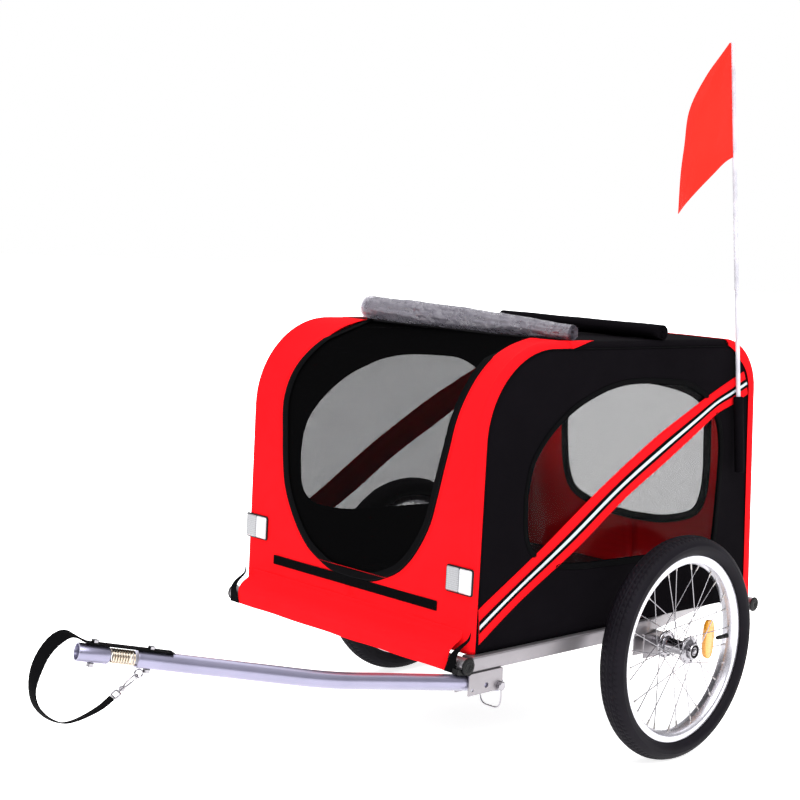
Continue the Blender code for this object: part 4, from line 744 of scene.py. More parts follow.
def open_panel_shape(surface, edge, start, end, flip):
    """A cabin panel round an opening, wrapped round both long edges."""
    before = [Vector((start + (edge[0].x - start) * i / 10, 0.0, 0)) for i in range(10)]
    after_count = 10
    if edge[-1].y < 0.01:
        after = [Vector((edge[-1].x + (end - edge[-1].x) * (i + 1) / after_count, 0.0, 0))
                 for i in range(after_count)]
    else:
        after = [Vector((edge[-1].x + (end - edge[-1].x) * (i + 1) / after_count,
                         edge[-1].y, 0)) for i in range(after_count)]
    rows_of = before + list(edge) + after
    shapes = []
    for side in (-1, 1):
        rows = []
        for place in rows_of:
            row = []
            for index in range(15):
                part = index / 14
                u = place.y + (FLAT - place.y) * part
                fade = min(1.0, part * 4) * min(1.0, (1 - part) * 4)
                point = skin(surface, place.x, side * u)
                out = wavy(point, 0.0022, 9.0) * fade
                row.append(skin(surface, place.x, side * u, out))
            for index in range(1, 8):
                u = FLAT + CORNER * pi / 2 * index / 7
                row.append(skin(surface, place.x, side * u))
            rows.append(row)
        shapes.append(grid(rows, flip=(side < 0) != flip))
    return joined(*shapes)


def net_sheet(surface, edge, top_end, lap, columns=24, sag=0.003):
    """The netting behind an opening, with a UV map in metres."""
    rows = []
    uvs = []
    places = [Vector((edge[0].x - lap, edge[0].y, 0))] + list(edge)
    places.append(Vector((top_end, edge[-1].y, 0)))
    for place in places:
        half = place.y + lap
        row = []
        for index in range(columns + 1):
            u = half * (2 * index / columns - 1)
            fade = 1 - (u / half) ** 2
            point = skin(surface, place.x, u)
            dip = -0.0022 + (wavy(point, sag, 7.0, 3.0) - sag * 0.3) * fade
            row.append(skin(surface, place.x, u, dip))
            uvs.append((u, place.x))
        rows.append(row)
    return grid(rows), uvs


def ribbon(points, normals, width, height, closed=False, offset=0.0):
    """Rounded band on a surface: it follows points and stands up along the normals."""
    count = len(points)
    section = []
    for index in range(9):
        angle = pi * index / 8
        section.append((-cos(angle) * width / 2, (sin(angle) ** 0.6) * height))
    section += [(width / 2, -height * 0.4), (-width / 2, -height * 0.4)]
    rows = []
    for index in range(count):
        before = points[index - 1] if closed or index else points[index]
        after = points[(index + 1) % count] if closed or index < count - 1 else points[index]
        way = (after - before).normalized()
        up = normals[index]
        across = up.cross(way).normalized()
        rows.append([
            points[index] + across * (a + offset) + up * b for a, b in section
        ])
    if closed:
        rows.append(rows[0])
    verts, faces = grid(rows, closed=True)
    if not closed:
        size = len(section)
        faces.append(tuple(range(size)))
        faces.append(tuple((count - 1) * size + index for index in range(size))[::-1])
    return verts, faces


def outline_on(surface, edge, ends=None):
    """The whole line of an opening on the skin with its normals, from right to left."""
    right = [(place.x, -place.y) for place in reversed(edge)]
    left = [(place.x, place.y) for place in edge]
    if ends is not None:
        right = [(ends, right[0][1])] + right
        left = left + [(ends, left[-1][1])]
    line = right + left[1:]
    points = [skin(surface, t, u, 0.0004) for t, u in line]
    normals = []
    for t, u in line:
        normals.append((skin(surface, t, u, 0.01) - skin(surface, t, u)).normalized())
    return points, normals


def profile_line(inset):
    """Side view of the cabin drawn in by a distance, from the front foot to the rear foot."""
    points = []
    for index in range(60):
        x, z, out_x, out_z = along_front(FRONT_END * index / 59)
        points.append((x - out_x * inset, z - out_z * inset))
    for index in range(60):
        x, z, out_x, out_z = along_rear(REAR_END * index / 59)
        points.append((x - out_x * inset, z - out_z * inset))
    return points


def front_cabin():
    """Red front with its opening, the net that hangs in behind it, and the bound edge."""
    edge = smooth_opening(FRONT_OPENING, front_t, 46)
    edge[0].y = 0.0
    cover = piece("front_cover", open_panel_shape(along_front, edge, 0.0, FRONT_END, False),
                  RED, "frame", ["front_panel"], thick=PANEL_CLOTH, sharp=60)
    net, uvs = net_sheet(along_front, edge, FRONT_END, 0.004)
    mesh = piece("front_mesh", net, NET, "frame", ["front_net"], uvs)
    points, normals = outline_on(along_front, edge, FRONT_END)
    piece("front_binding", ribbon(points, normals, 0.015, 0.0016, offset=0.0045), BLACK_TRIM,
          "frame")
    for name, offset in (("front_binding_stitch", 0.0), ("front_cover_stitch", -0.0075)):
        line = [
            point + normal.cross((after - point).normalized()) * offset + normal * 0.0012
            for point, after, normal in zip(points, points[1:], normals)
            if not offset or point.z > STRIP_TOP
        ]
        thread = THREAD_RED if offset else THREAD_BLACK
        piece(name, stitches(line, lambda place: nearest_normal(place, points, normals)),
              thread)


def nearest_normal(place, points, normals):
    """Normal of the point that lies nearest to a place."""
    best = min(range(len(points)), key=lambda index: (points[index] - place).length_squared)
    return normals[best]


def rear_cabin():
    """Red rear with its opening, net, and the binding on both faces."""
    edge = smooth_opening(REAR_OPENING, rear_t, 46)
    edge.reverse()
    edge[0].y = 0.0
    edge[-1].y = 0.0
    cover = piece("rear_cover", open_panel_shape(along_rear, edge, 0.0, REAR_END, True), RED,
                  "frame", ["rear_panel"], thick=PANEL_CLOTH, sharp=60)
    net, uvs = net_sheet(along_rear, edge, edge[-1].x + 0.003, 0.004)
    mesh = piece("rear_mesh", net, REAR_NET, "frame", ["rear_net"], uvs)
    points, normals = outline_on(along_rear, edge)
    for name, out in (("rear_binding", 0.0), ("rear_binding_inside", -0.0030)):
        moved = [point + normal * out for point, normal in zip(points, normals)]
        ways = normals if out == 0.0 else [-normal for normal in normals]
        side = 1 if out == 0.0 else -1
        piece(name, ribbon(moved, ways, 0.016, 0.0016, offset=-0.004 * side), BLACK_TRIM,
              "frame")


def roof():
    """Black roof, and the red points that run up onto it from the front."""
    length = ROOF_FRONT_X - REAR_ARC_X

    def cover(along, across):
        t, u = length * along, EDGE_U * (2 * across - 1)
        fade = max(0.0, 1 - (u / FLAT) ** 2)
        out = (wavy(skin(along_roof, t, u), 0.004, 8.0, 5.0) - 0.002) * fade
        return skin(along_roof, t, u, out)

    cloth_piece = piece("roof_cover", grid(field(31, 41, cover)), BLACK, "frame",
                        ["roof_panel"], thick=PANEL_CLOTH, sharp=60)
    for side, label in SIDES:
        def point(along, across):
            inner = FLAT - POINT_LAP * (1 - along)
            outer = EDGE_U - (EDGE_U - FLAT) * along ** 1.2
            return skin(along_roof, POINT_LENGTH * along - 0.001,
                        side * (inner + (outer - inner) * across), 0.0006)

        piece(label + "_red_point", grid(field(15, 7, point), flip=side < 0), RED,
              thick=0.0005, sharp=60)


def rear_edge(label, side):
    """Red edge of the rear panel, sewn round onto the side."""
    inner = FLAT - 0.003

    def point(along, across):
        t = REAR_END * along
        outer = EDGE_U + EDGE_LAP * min(1.0, t / EDGE_TAPER)
        return skin(along_rear, t, side * (inner + (outer - inner) * across),
                    0.0012 + 0.0022 * across ** 2)

    piece(label + "_rear_edge", grid(field(41, 17, point), flip=side < 0), RED, thick=0.0006,
          sharp=60)


def ray_hit(outline, centre, angle):
    """Where the ray from centre at an angle leaves a closed outline."""
    way = (cos(angle), sin(angle))
    best = 0.0
    for index in range(len(outline)):
        x0, y0 = outline[index - 1]
        x1, y1 = outline[index]
        ax, ay = x0 - centre[0], y0 - centre[1]
        bx, by = x1 - x0, y1 - y0
        cross = way[0] * by - way[1] * bx
        if abs(cross) < 1e-12:
            continue
        reach = (ax * by - ay * bx) / cross
        part = (ax * way[1] - ay * way[0]) / cross
        if reach > 0 and -1e-6 <= part <= 1 + 1e-6:
            best = max(best, reach)
    return best


def side_cabin(label, side):
    window = [tuple(point.xy) for point in even(
        catmull([(x, z, 0) for x, z in SIDE_WINDOW + SIDE_WINDOW[:1]], 240)[:-1], 180, True
    )]
    outer = profile_line(CORNER)
    outer = [(outer[0][0], BOTTOM)] + outer + [(outer[-1][0], BOTTOM)]
    centre = (0.09, 0.50)
    angles = set(2 * pi * index / 180 for index in range(180))
    for corner in (outer[0], outer[-1]):
        angles.add(atan2(corner[1] - centre[1], corner[0] - centre[0]) % (2 * pi))
    angles = sorted(angles)
    reach_in = [ray_hit(window, centre, angle) for angle in angles]
    reach_out = [ray_hit(outer, centre, angle) for angle in angles]
    face = side * HALF

    def point(angle, reach, out=0.0):
        return Vector((centre[0] + reach * cos(angle), face + side * out,
                       centre[1] + reach * sin(angle)))

    rows = []
    for ring in range(13):
        part = ring / 12
        row = []
        for angle, low, high in zip(angles, reach_in, reach_out):
            place = point(angle, low + (high - low) * part)
            fade = min(1.0, part * 4) * min(1.0, (1 - part) * 4)
            row.append(place + Vector((0, side * wavy(place, 0.0030, 8.0, 9.0) * fade, 0)))
        rows.append(row)
    cover = piece(label + "_side_cover", grid(rows, flip=side < 0, closed=True), BLACK,
                  "frame", [label + "_side_panel"], thick=0.0011, sharp=60)

    rows = []
    for ring in range(1, 31):
        part = ring / 30
        row = []
        for angle, low in zip(angles, reach_in):
            place = point(angle, (low + 0.004) * part)
            fade = min(1.0, (1 - part) * 6)
            ripple = wavy(place, 0.006, 6.0, 2.0)
            tight = max(0.0, 1 - abs(place.x - REAR_ARC_X) / 0.045)
            ripple += 0.004 * tight * sin(place.z * 95 + 2 * sin(place.z * 41))
            fold = max(0.0, 1 - abs(place.x - (0.33 - 0.5 * abs(place.z - 0.53))) / 0.05)
            ripple += 0.007 * fold ** 2
            row.append(place - Vector((0, side * (abs(ripple) * fade + 0.0022), 0)))
        rows.append(row)
    verts, faces = grid(rows, flip=side > 0, closed=True)
    middle = len(verts)
    verts.append(Vector((centre[0], face - side * 0.0022, centre[1])))
    count = len(angles)
    for index in range(count):
        after = (index + 1) % count
        corners = (middle, index, after)
        faces.append(corners if side < 0 else corners[::-1])
    film = piece(label + "_clear_window", (verts, faces), FILM, "frame",
                 [label + "_window"], sharp=80)

    points = [point(angle, low, 0.0002) for angle, low in zip(angles, reach_in)]
    up = [Vector((0, side, 0))] * len(points)
    piece(label + "_window_binding", ribbon(points, up, 0.010, 0.0015, closed=True),
          BLACK_TRIM, "frame")
    inside = [place - Vector((0, side * 0.0035, 0)) for place in points]
    down = [Vector((0, -side, 0))] * len(points)
    piece(label + "_window_binding_inside", ribbon(inside, down, 0.012, 0.001, closed=True),
          BLACK_TRIM, "frame")
    seam = [Vector((x, side * (HALF + 0.0002), z)) for x, z in profile_line(CORNER)]
    piece(label + "_side_seam", sweep(even(seam, 120), circle(0.0009, 6), up=(0, 1, 0)),
          BLACK_TRIM, "frame")


def band(label, side):
    """Red band across the side with its reflective tape."""
    upper = even(catmull([(x, z, 0) for x, z in BAND_UPPER], 60), 61)
    lower = even(catmull([(x, z, 0) for x, z in BAND_LOWER], 60), 61)

    def strip(first, last, out, columns):
        rows = []
        for high, low in zip(upper, lower):
            row = []
            for column in range(columns + 1):
                part = first + (last - first) * column / columns
                place = high.lerp(low, part)
                lift = out + 0.0012 * sin(pi * part) ** 0.5
                row.append(Vector((place.x, side * (HALF + lift), place.y)))
            rows.append(row)
        return grid(rows, flip=side > 0)

    piece(label + "_red_band", strip(0.0, 1.0, 0.0003, 16), RED_TRIM, "frame",
          [label + "_band"], thick=0.0008, sharp=60)
    piece(label + "_band_tape", strip(0.33, 0.67, 0.0016, 6), BLACK_TRIM, thick=0.0005,
          sharp=60)
    piece(label + "_band_stripe", strip(0.445, 0.555, 0.0022, 4), STRIPE, thick=0.0004,
          sharp=60)
    rows = []
    for part in (0.03, 0.31, 0.69, 0.97):
        line = [
            Vector((high.lerp(low, part).x,
                    side * (HALF + 0.0022 + 0.0012 * sin(pi * part) ** 0.5),
                    high.lerp(low, part).y))
            for high, low in zip(upper, lower)
        ]
        rows.append(stitches(line, lambda place: Vector((0, side, 0))))
    piece(label + "_band_stitch", joined(*rows), THREAD_RED, "frame")


def front_trim():
    """Hem, touch strip, reflectors and corner pieces of the front."""
    tube_front = FRONT_TUBE_X + TUBE_RADIUS
    flap = (
        (FRONT + 0.0004, 0.278), (FRONT + 0.0018, 0.268), (FRONT + 0.008, 0.2625),
        (tube_front - 0.006, 0.2540), (tube_front + 0.0020, 0.2440),
        (tube_front + 0.0032, 0.2320), (tube_front + 0.0030, 0.2165),
    )
    line = catmull([(x, z, 0) for x, z in flap], 25)
    rows = []
    for place in line:
        row = []
        for index in range(49):
            y = 0.268 * (2 * index / 48 - 1)
            down = max(0.0, (0.262 - place.y) / 0.055)
            bulge = down * (0.0012 * sin(y * 47) + wavy((y, 0, place.y), 0.002, 14.0))
            row.append(Vector((place.x + bulge, y, place.y)))
        rows.append(row)
    skirt = piece("front_skirt", grid(rows, flip=True), RED, "frame",
                  ["front_flap"], thick=0.0012, sharp=60)
    corner_line = catmull([(FRONT + 0.0014, CORNER_CLOTH_TOP, 0)] + [
        (x + 0.0016, z, 0) for x, z in flap], 29)
    for side, label in SIDES:
        rows = []
        for place in corner_line:
            part = (CORNER_CLOTH_TOP - place.y) / (CORNER_CLOTH_TOP - flap[-1][1])
            inner = HALF - (HALF - CORNER_CLOTH_FOOT) * min(1.0, part)
            rows.append([
                Vector((place.x, side * (inner + (HALF + 0.0004 - inner) * index / 12),
                        place.y))
                for index in range(13)
            ])
        piece(label + "_corner_cloth", grid(rows, flip=side > 0), BLACK_TRIM, thick=0.0009,
              sharp=60)
    strip = box_shape((0.0165, 0.416, 0.0016),
                      turned((FRONT + 0.0010, 0, STRIP_MIDDLE), pi / 2, "Y"), 0.001)
    piece("touch_strip", strip, BLACK_TRIM, "frame", ["hook_and_loop_strip"])
    hooks = []
    for row in range(6):
        for column in range(136):
            y = -0.2035 + 0.407 * column / 135
            z = STRIP_MIDDLE - 0.0066 + 0.0132 * row / 5
            base = Vector((FRONT + 0.0018, y, z))
            hooks.append(sweep((base, base + Vector((0.0009, 0.0004, 0.0002))),
                               circle(0.0005, 4), up=(0, 1, 0)))
    piece("touch_strip_loops", joined(*hooks), WEBBING, "frame")
    for side, label in SIDES:
        place = turned((FRONT + 0.0025, side * REFLECTOR_Y, REFLECTOR_Z), pi / 2, "Y")
        piece(label + "_reflector_rim", box_shape((0.044, 0.060, 0.0036), place, 0.004),
              PLASTIC, "frame", [label + "_front_reflector"], slot="grey_reflector")
        for part, offset, lens in (("grey", -0.0140, GREY_LENS), ("white", 0.0140, WHITE_LENS)):
            shift = Matrix.Translation((0.0016, offset, 0))
            piece(label + "_reflector_" + part,
                  box_shape((0.0395, 0.0275, 0.0036), shift @ place, 0.0025), lens)


def roll_shape(line, radii, steps, size_at):
    """Rings about a line across the roof; size_at gives their radius at a point and angle."""
    rows = []
    for point, radius in zip(line, radii):
        sizes = [(size_at(point, radius.x, angle), angle) for angle in turns(steps)]
        rows.append([point + Vector((size * cos(angle), 0, size * sin(angle)))
                     for size, angle in sizes])
    return grid(rows, flip=True, closed=True)


def ring_about(centre, radius, shift=0.0):
    return [centre + Vector((radius * cos(angle), shift, radius * sin(angle)))
            for angle in turns(36)]


def rain_cover():
    """Rolled clear rain cover with its ties and hemmed ends."""
    knots = ((0.270, -0.205, 0.0225), (0.262, 0.0, 0.0205), (0.252, 0.274, 0.0135))
    line = catmull([(x, y, TOP + r + ROLL_GAP) for x, y, r in knots], 90)
    radii = catmull([(r, 0, 0) for x, y, r in knots], 90)

    def outside(point, radius, angle):
        place = Vector((cos(angle) * 9, point.y * 42, sin(angle) * 9))
        folds = 0.0022 * noise.noise(place * 0.35) + 0.0011 * noise.noise(place * 1.1)
        return radius * 0.93 + folds + 0.0010 * (angle / (2 * pi))

    piece("rolled_rain_cover", roll_shape(line, radii, 56, outside), ROLLED_FILM, "frame",
          ["clear_cover_roll"], sharp=80)
    layers = []
    for layer in (0.80, 0.60, 0.40):
        def inside(point, radius, angle):
            place = Vector((cos(angle) * 7, point.y * 33, sin(angle) * 7 + layer * 9))
            return radius * layer + 0.0014 * noise.noise(place * 0.5)

        layers.append(roll_shape(line, radii, 32, inside))
    piece("rolled_rain_layers", joined(*layers), ROLLED_FILM, sharp=80)
    ties = []
    for y, width in ((-0.178, 0.006), (0.108, 0.011), (0.218, 0.006), (0.262, 0.012)):
        nearest = min(range(len(line)), key=lambda index: abs(line[index].y - y))
        loop = ring_about(line[nearest], radii[nearest].x + 0.0012)
        ties.append(sweep(loop, rounded_box(width / 2, 0.0009, 0.0008, 2), closed=True))
    piece("rain_cover_ties", joined(*ties), BLACK_TRIM)
    hems = []
    for end, grow in ((0, -1), (-1, 1)):
        for layer in (1.0, 0.78, 0.55, 0.30):
            loop = ring_about(line[end], radii[end].x * layer, grow * 0.002 * layer)
            hems.append(sweep(loop, rounded_box(0.0048, 0.0011, 0.0009, 2), closed=True))
    piece("rain_cover_hems", joined(*hems), BLACK_TRIM)


def roof_roll():
    """Rolled roof cover: a spiral of cloth, a little fuller in its middle."""
    turn_count = 4.0
    inner, outer = 0.0020, 0.0133
    spiral = []
    for index in range(150):
        part = index / 149
        radius = inner + (outer - inner) * part
        angle = 2 * pi * turn_count * part - pi / 2
        spiral.append((radius * cos(angle), radius * sin(angle)))
    rows = []
    for index in range(41):
        part = index / 40
        y = -0.10 + 0.38 * part
        swell = 1 + 0.10 * sin(part * pi)
        row = []
        for x, z in spiral:
            bump = 1 + 0.06 * noise.noise(Vector((x * 150, y * 16, z * 150)))
            row.append(Vector((0.015 + x * swell * bump * 1.12, y,
                               TOP + outer + ROLL_GAP + z * bump)))
        rows.append(row)
    piece("rolled_roof_cover", grid(rows), BLACK, "frame", ["roof_cover_roll"], thick=0.0009,
          sharp=70)


def wheel_place(side):
    return turned((0, side * WHEEL_Y, TYRE_RADIUS), -side * pi / 2, "X")


def tread_depth(distance, way, turn):
    """How deep the tread lies at a distance from the crown, for every turn of the blocks."""
    depth = np.zeros(len(turn))
    if 0.0030 < distance < 0.0046 or 0.0105 < distance < 0.0120:
        depth += 0.0014
    elif distance <= 0.0030:
        cut = (turn + 0.25 * way) % 1.0
        depth += np.where((cut < 0.2) & (distance > 0.0012), 0.0012, 0.0)
    elif distance <= 0.0105:
        cut = (turn + 0.5 * (way > 0) + (distance - 0.0046) * 60 * way) % 1.0
        depth += np.where(cut < 0.26, 0.0013, 0.0)
    elif distance <= 0.0190:
        cut = (turn + 0.25 + (distance - 0.0120) * 45 * way) % 1.0
        depth += np.where(cut < 0.26, 0.0012, 0.0)
    elif distance < 0.0260:
        depth += 0.0003 * (int(distance / 0.0013) % 2)
    elif 0.0300 < distance < 0.0312:
        depth -= 0.0006
    return depth


def tyre_shape(side):
    """Tyre with its tread: a centre rib, two rows of blocks and ribs on the walls."""
    points = list(TYRE_OUTLINE) + [(radius, -height) for radius, height in TYRE_OUTLINE[-2::-1]]
    line = even(catmull([(r, h, 0) for r, h in points], 200), 67)
    middle = len(line) // 2
    spacing = (line[1] - line[0]).length
    steps = TREAD_BLOCKS * 6
    angles = 2 * pi * np.arange(steps) / steps
    bead = (RIM_RADIUS - 0.0062) * np.ones(steps)
    rows = [(bead, 0.0132 * np.ones(steps))]
    for index, place in enumerate(line):
        from_crown = (index - middle) * spacing
        depth = tread_depth(abs(from_crown), 1 if from_crown >= 0 else -1,
                            angles / (2 * pi) * TREAD_BLOCKS)
        before = line[max(0, index - 1)]
        after = line[min(len(line) - 1, index + 1)]
        tangent = (after - before).normalized()
        normal = Vector((-tangent.y, tangent.x))
        if normal.x * (place.x - 0.180) + normal.y * place.y < 0:
            normal = -normal
        rows.append((place.x - normal.x * depth, (place.y - normal.y * depth) * np.ones(steps)))
    rows.append((bead, -0.0132 * np.ones(steps)))
    place = np.array(wheel_place(side))
    verts = []
    for radius, height in rows:
        local = np.stack([radius * np.cos(angles), radius * np.sin(angles), height,
                          np.ones(steps)])
        verts += [Vector(point) for point in (place @ local)[:3].T]
    faces = []
    count = len(rows)
    for row in range(count):
        low = row * steps
        high = (row + 1) % count * steps
        for step in range(steps):
            after = (step + 1) % steps
            faces.append((low + step, high + step, high + after, low + after))
    return verts, faces


def rim_and_tyre(label, side, place, body):
    """Tyre, and the rim with its two walls and the well between the spokes' seats."""
    piece(label + "_tread_tyre", tyre_shape(side), RUBBER, body, [body + "_tyre"], sharp=35)
    seat = RIM_HALF - 0.0014
    wall = ((RIM_RADIUS, RIM_HALF - 0.0002), (RIM_RADIUS, seat), (RIM_RADIUS - 0.0066, seat))
    well = (
        (RIM_RADIUS - 0.0008, 1.0), (0.1570, 1.0), (0.1545, 0.95), (0.1520, 0.78),
        (0.1505, 0.45), (RIM_INNER, 0.12),
    )
    rim = (
        list(wall) + [(r, -h) for r, h in wall[::-1]] + [(r, -h * RIM_HALF) for r, h in well]
        + [(RIM_INNER - 0.0003, 0.0)] + [(r, h * RIM_HALF) for r, h in well[::-1]]
    )
    piece(label + "_alloy_rim", lathe(rim, 192, place, closed=True), ALLOY, body,
          [body + "_rim"], sharp=32)


def hub(label, place, body):
    """Hub shell with its flanges, and the seal and axle nut on its outer face."""
    outer, inner, top = OUTER_FLANGE, INNER_FLANGE, HUB_OUTER - 0.0002
    r, f = BARREL_RADIUS, FLANGE_RADIUS
    shell = (
        (0.0118, outer + 0.0110), (0.0132, outer + 0.0112), (0.0142, outer + 0.0100),
        (0.0142, outer + 0.0020), (0.0165, outer + 0.0008), (f - 0.0008, outer),
        (f, outer - 0.0008), (f, outer - 0.0030), (f - 0.0010, outer - 0.0040),
        (0.0160, outer - 0.0046), (r + 0.0006, outer - 0.0090), (r, outer - 0.0150),
        (r, inner + 0.0150), (r + 0.0006, inner + 0.0090), (0.0160, inner + 0.0046),
        (f - 0.0010, inner + 0.0040), (f, inner + 0.0030), (f, inner + 0.0008),
        (f - 0.0008, inner), (0.0165, inner - 0.0008), (0.0142, inner - 0.0020),
        (0.0142, -HUB_INNER + 0.0008), (0.0132, -HUB_INNER), (0.0066, -HUB_INNER),
        (0.0066, outer + 0.0060), (0.0118, outer + 0.0060),
    )
    piece(label + "_hub_shell", lathe(shell, 72, place, closed=True), BRIGHT, body,
          [body + "_hub"], sharp=32)
    seal = ((0.0, outer + 0.0090), (0.0116, outer + 0.0086), (0.0117, outer + 0.0061),
            (0.0, outer + 0.0061))
    piece(label + "_hub_seal", lathe(seal, 48, place), SEAL_BLACK_AND_HOLE_SHADE, body)
    washer = ((0.0, outer + 0.0103), (0.0072, outer + 0.0103), (0.0074, outer + 0.0092),
              (0.0, outer + 0.0090))
    nut = ((0.0052, top - 0.0006), (0.0060, top - 0.0012), (0.0063, outer + 0.0103),
           (0.0, outer + 0.0102))
    end = ((0.0, top), (0.0030, top - 0.0003), (0.0042, top - 0.0012), (0.0046, top - 0.0030),
           (0.0, top - 0.0032))
    piece(label + "_axle_nut", joined(lathe(washer, 40, place), lathe(nut, 6, place),
                                      lathe(end, 32, place)), BRIGHT, body, sharp=30)


def spokes(label, place, body):
    """Crossed spokes with their heads in the flanges, and the nipples in the rim."""
    wires = []
    nipples = []
    step = 2 * pi / SPOKES
    hole = FLANGE_RADIUS - 0.003
    seat = RIM_INNER + 0.0006
    for index in range(SPOKES):
        height = (OUTER_FLANGE - 0.002, INNER_FLANGE + 0.002)[index % 2]
        way = Vector((0, 0, 1 if (index // 2) % 2 == 0 else -1))
        rim_angle = (index + 0.5) * step
        hub_angle = rim_angle - way.z * SPOKE_LACING * step
        start = Vector((hole * cos(hub_angle), hole * sin(hub_angle), height))
        bent = start + way * 0.0030
        end = Vector((seat * cos(rim_angle), seat * sin(rim_angle),
                      0.003 if height > 0 else -0.003))
        along = (end - bent).normalized()
        path = [start - way * 0.0032, start + way * 0.0018, bent + along * 0.0022, end]
        wires.append(sweep(path, circle(SPOKE_RADIUS, 8), up=(0.01, 0.02, 1)))
        wires.append(sweep([start - way * 0.0030, start - way * 0.0042],
                           circle(HEAD_RADIUS, 8), up=(1, 0, 0), scales=[1.0, 0.6]))
        path = [end + along * reach for reach in (-0.011, -0.0095, -0.0010, 0.0012)]
        nipples.append(sweep(path, circle(HEAD_RADIUS, 8), scales=[0.62, 0.80, 0.95, 1.35]))
    piece(label + "_spokes", placed(joined(*wires), place), BRIGHT, body, sharp=50)
    piece(label + "_spoke_nipples", placed(joined(*nipples), place), DULL, body, sharp=50)


def spoke_reflector(label, side, place, body):
    """Amber lens with blunt ends, in front of the spokes."""
    count = 48
    lens = []
    for level, grow in ((-0.0052, 0.0), (-0.0040, 0.6), (0.0036, 1.0), (0.0050, 0.55),
                        (0.0054, 0.2)):
        ring = []
        for angle in turns(count):
            across = 0.0135 * (0.80 + 0.20 * grow) * (abs(cos(angle)) ** 0.75) * (
                1 if cos(angle) >= 0 else -1)
            along = 0.036 * (0.92 + 0.08 * grow) * (abs(sin(angle)) ** 0.85) * (
                1 if sin(angle) >= 0 else -1)
            ring.append(Vector((-0.097 + across, along, -side * 0.005 + level)))
        lens.append(ring)
    verts, faces = grid(lens, closed=True)
    faces.append(tuple(range(count))[::-1])
    faces.append(tuple(range(4 * count, 5 * count)))
    piece(label + "_amber_reflector", placed((verts, faces), place), AMBER, body,
          [body + "_spoke_reflector"], sharp=50)


def valve(label, place, body):
    """Valve stem with its cap, on the inside of the rim."""
    stem = place @ turned((-RIM_INNER + 0.0004, 0, 0), pi / 2, "Y")
    profile = (
        (0.0, 0.031), (0.0022, 0.031), (0.0031, 0.0302), (0.0036, 0.0270), (0.0040, 0.0262),
        (0.0040, 0.0150), (0.0037, 0.0142), (0.0030, 0.0138), (0.0030, 0.0105),
        (0.0038, 0.0098), (0.0040, 0.0010), (0.0046, 0.0), (0.0, 0.0),
    )
    piece(label + "_valve_stem", lathe(profile, 24, stem), PLASTIC, body, [body + "_valve"],
          sharp=35)


def wheel(label, side):
    place = wheel_place(side)
    body = label + "_wheel"
    rim_and_tyre(label, side, place, body)
    hub(label, place, body)
    spokes(label, place, body)
    spoke_reflector(label, side, place, body)
    valve(label, place, body)


def rails():
    """Square side rails, bent inward behind the axle."""
    turn = radians(15)
    bend = 0.0725
    first = 0.024 + 0.060 * (turn / 2)
    front = FRONT_TUBE_X - TUBE_RADIUS - 0.0003
    rear = REAR_TUBE_X + TUBE_RADIUS + 0.0003
    for side, label in SIDES:
        path = [Vector((front, side * RAIL_Y, RAIL_Z)), Vector((0.2, side * RAIL_Y, RAIL_Z))]
        for index in range(9):
            angle = turn * index / 8
            path.append(Vector((
                first - bend * sin(angle), side * (RAIL_Y - bend * (1 - cos(angle))), RAIL_Z
            )))
        last = path[-1]
        path.append(Vector((rear, side * (abs(last.y) - (last.x - rear) * turn), RAIL_Z)))
        piece(label + "_square_rail", sweep(path, rounded_box(RAIL_HALF, RAIL_HALF, 0.003)),
              FRAME_PAINT, "frame", [label + "_rail"], sharp=50)


def cross_tubes():
    """Round cross tubes with their end caps, and dark rings round the button holes, painted
    shade of the holes.
    """
    cap = (
        (0.0, 0.0016), (0.0030, 0.0016), (0.0034, 0.0024), (0.0062, 0.0028),
        (0.0070, 0.0022), (0.0080, 0.0022), (0.0086, 0.0029), (0.0118, 0.0029),
        (0.0134, 0.0022), (0.0140, 0.0008), (0.0140, 0.0003), (0.0, 0.0003),
    )
    for label, x in (("front", FRONT_TUBE_X), ("rear", REAR_TUBE_X)):
        tube = sweep([Vector((x, -TUBE_HALF, RAIL_Z)), Vector((x, TUBE_HALF, RAIL_Z))],
                     circle(TUBE_RADIUS, 48))
        piece(label + "_round_tube", tube, FRAME_PAINT, "frame", [label + "_cross_tube"],
              sharp=50)
        for side, side_label in SIDES:
            place = turned((x, side * TUBE_HALF, RAIL_Z), -side * pi / 2, "X")
            name = f"{label}_{side_label}"
            piece(name + "_end_cap", lathe(cap, 48, place), PLASTIC, "frame", [name + "_cap"],
                  sharp=35)
    # Dark rings where the tube shows round each button: painted shade in the holes.
    ring = ((0.0046, 0.0122), (0.0052, 0.0126), (0.0060, 0.0118), (0.0052, 0.0105),
            (0.0046, 0.0105))
    rings = [lathe(ring, 32, turned((FRONT_TUBE_X, side * 0.2803, RAIL_Z), pi / 2, "Y"),
                   closed=True) for side, label in SIDES]
    piece("button_hole_shade_rings", joined(*rings), SEAL_BLACK_AND_HOLE_SHADE)


def dressed_nodes():
    """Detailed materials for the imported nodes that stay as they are."""
    for names, material in (
        (("left_axle_bracket", "right_axle_bracket", "tow_bracket"), FRAME_PAINT),
        (("left_axle", "right_axle", "lock_pin", "tow_bar_button", "left_tube_button",
          "right_tube_button", "rear_strap_bolt", "front_strap_bolt"), BRIGHT),
        (("left_hoop", "right_hoop", "bar_bumper"), PLASTIC),
        (("floor_board",), BOARD),
    ):
        for name in names:
            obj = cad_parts[name]
            obj.data.materials.clear()
            obj.data.materials.append(material)


def bar_frame():
    """Frame of the bar's front part, as in part.py: X along it, Z above it."""
    turn = Matrix.Rotation(BAR_YAW, 4, "Z") @ Matrix.Rotation(-BAR_RISE, 4, "Y")
    return Matrix.Translation(BAR_BEND) @ turn


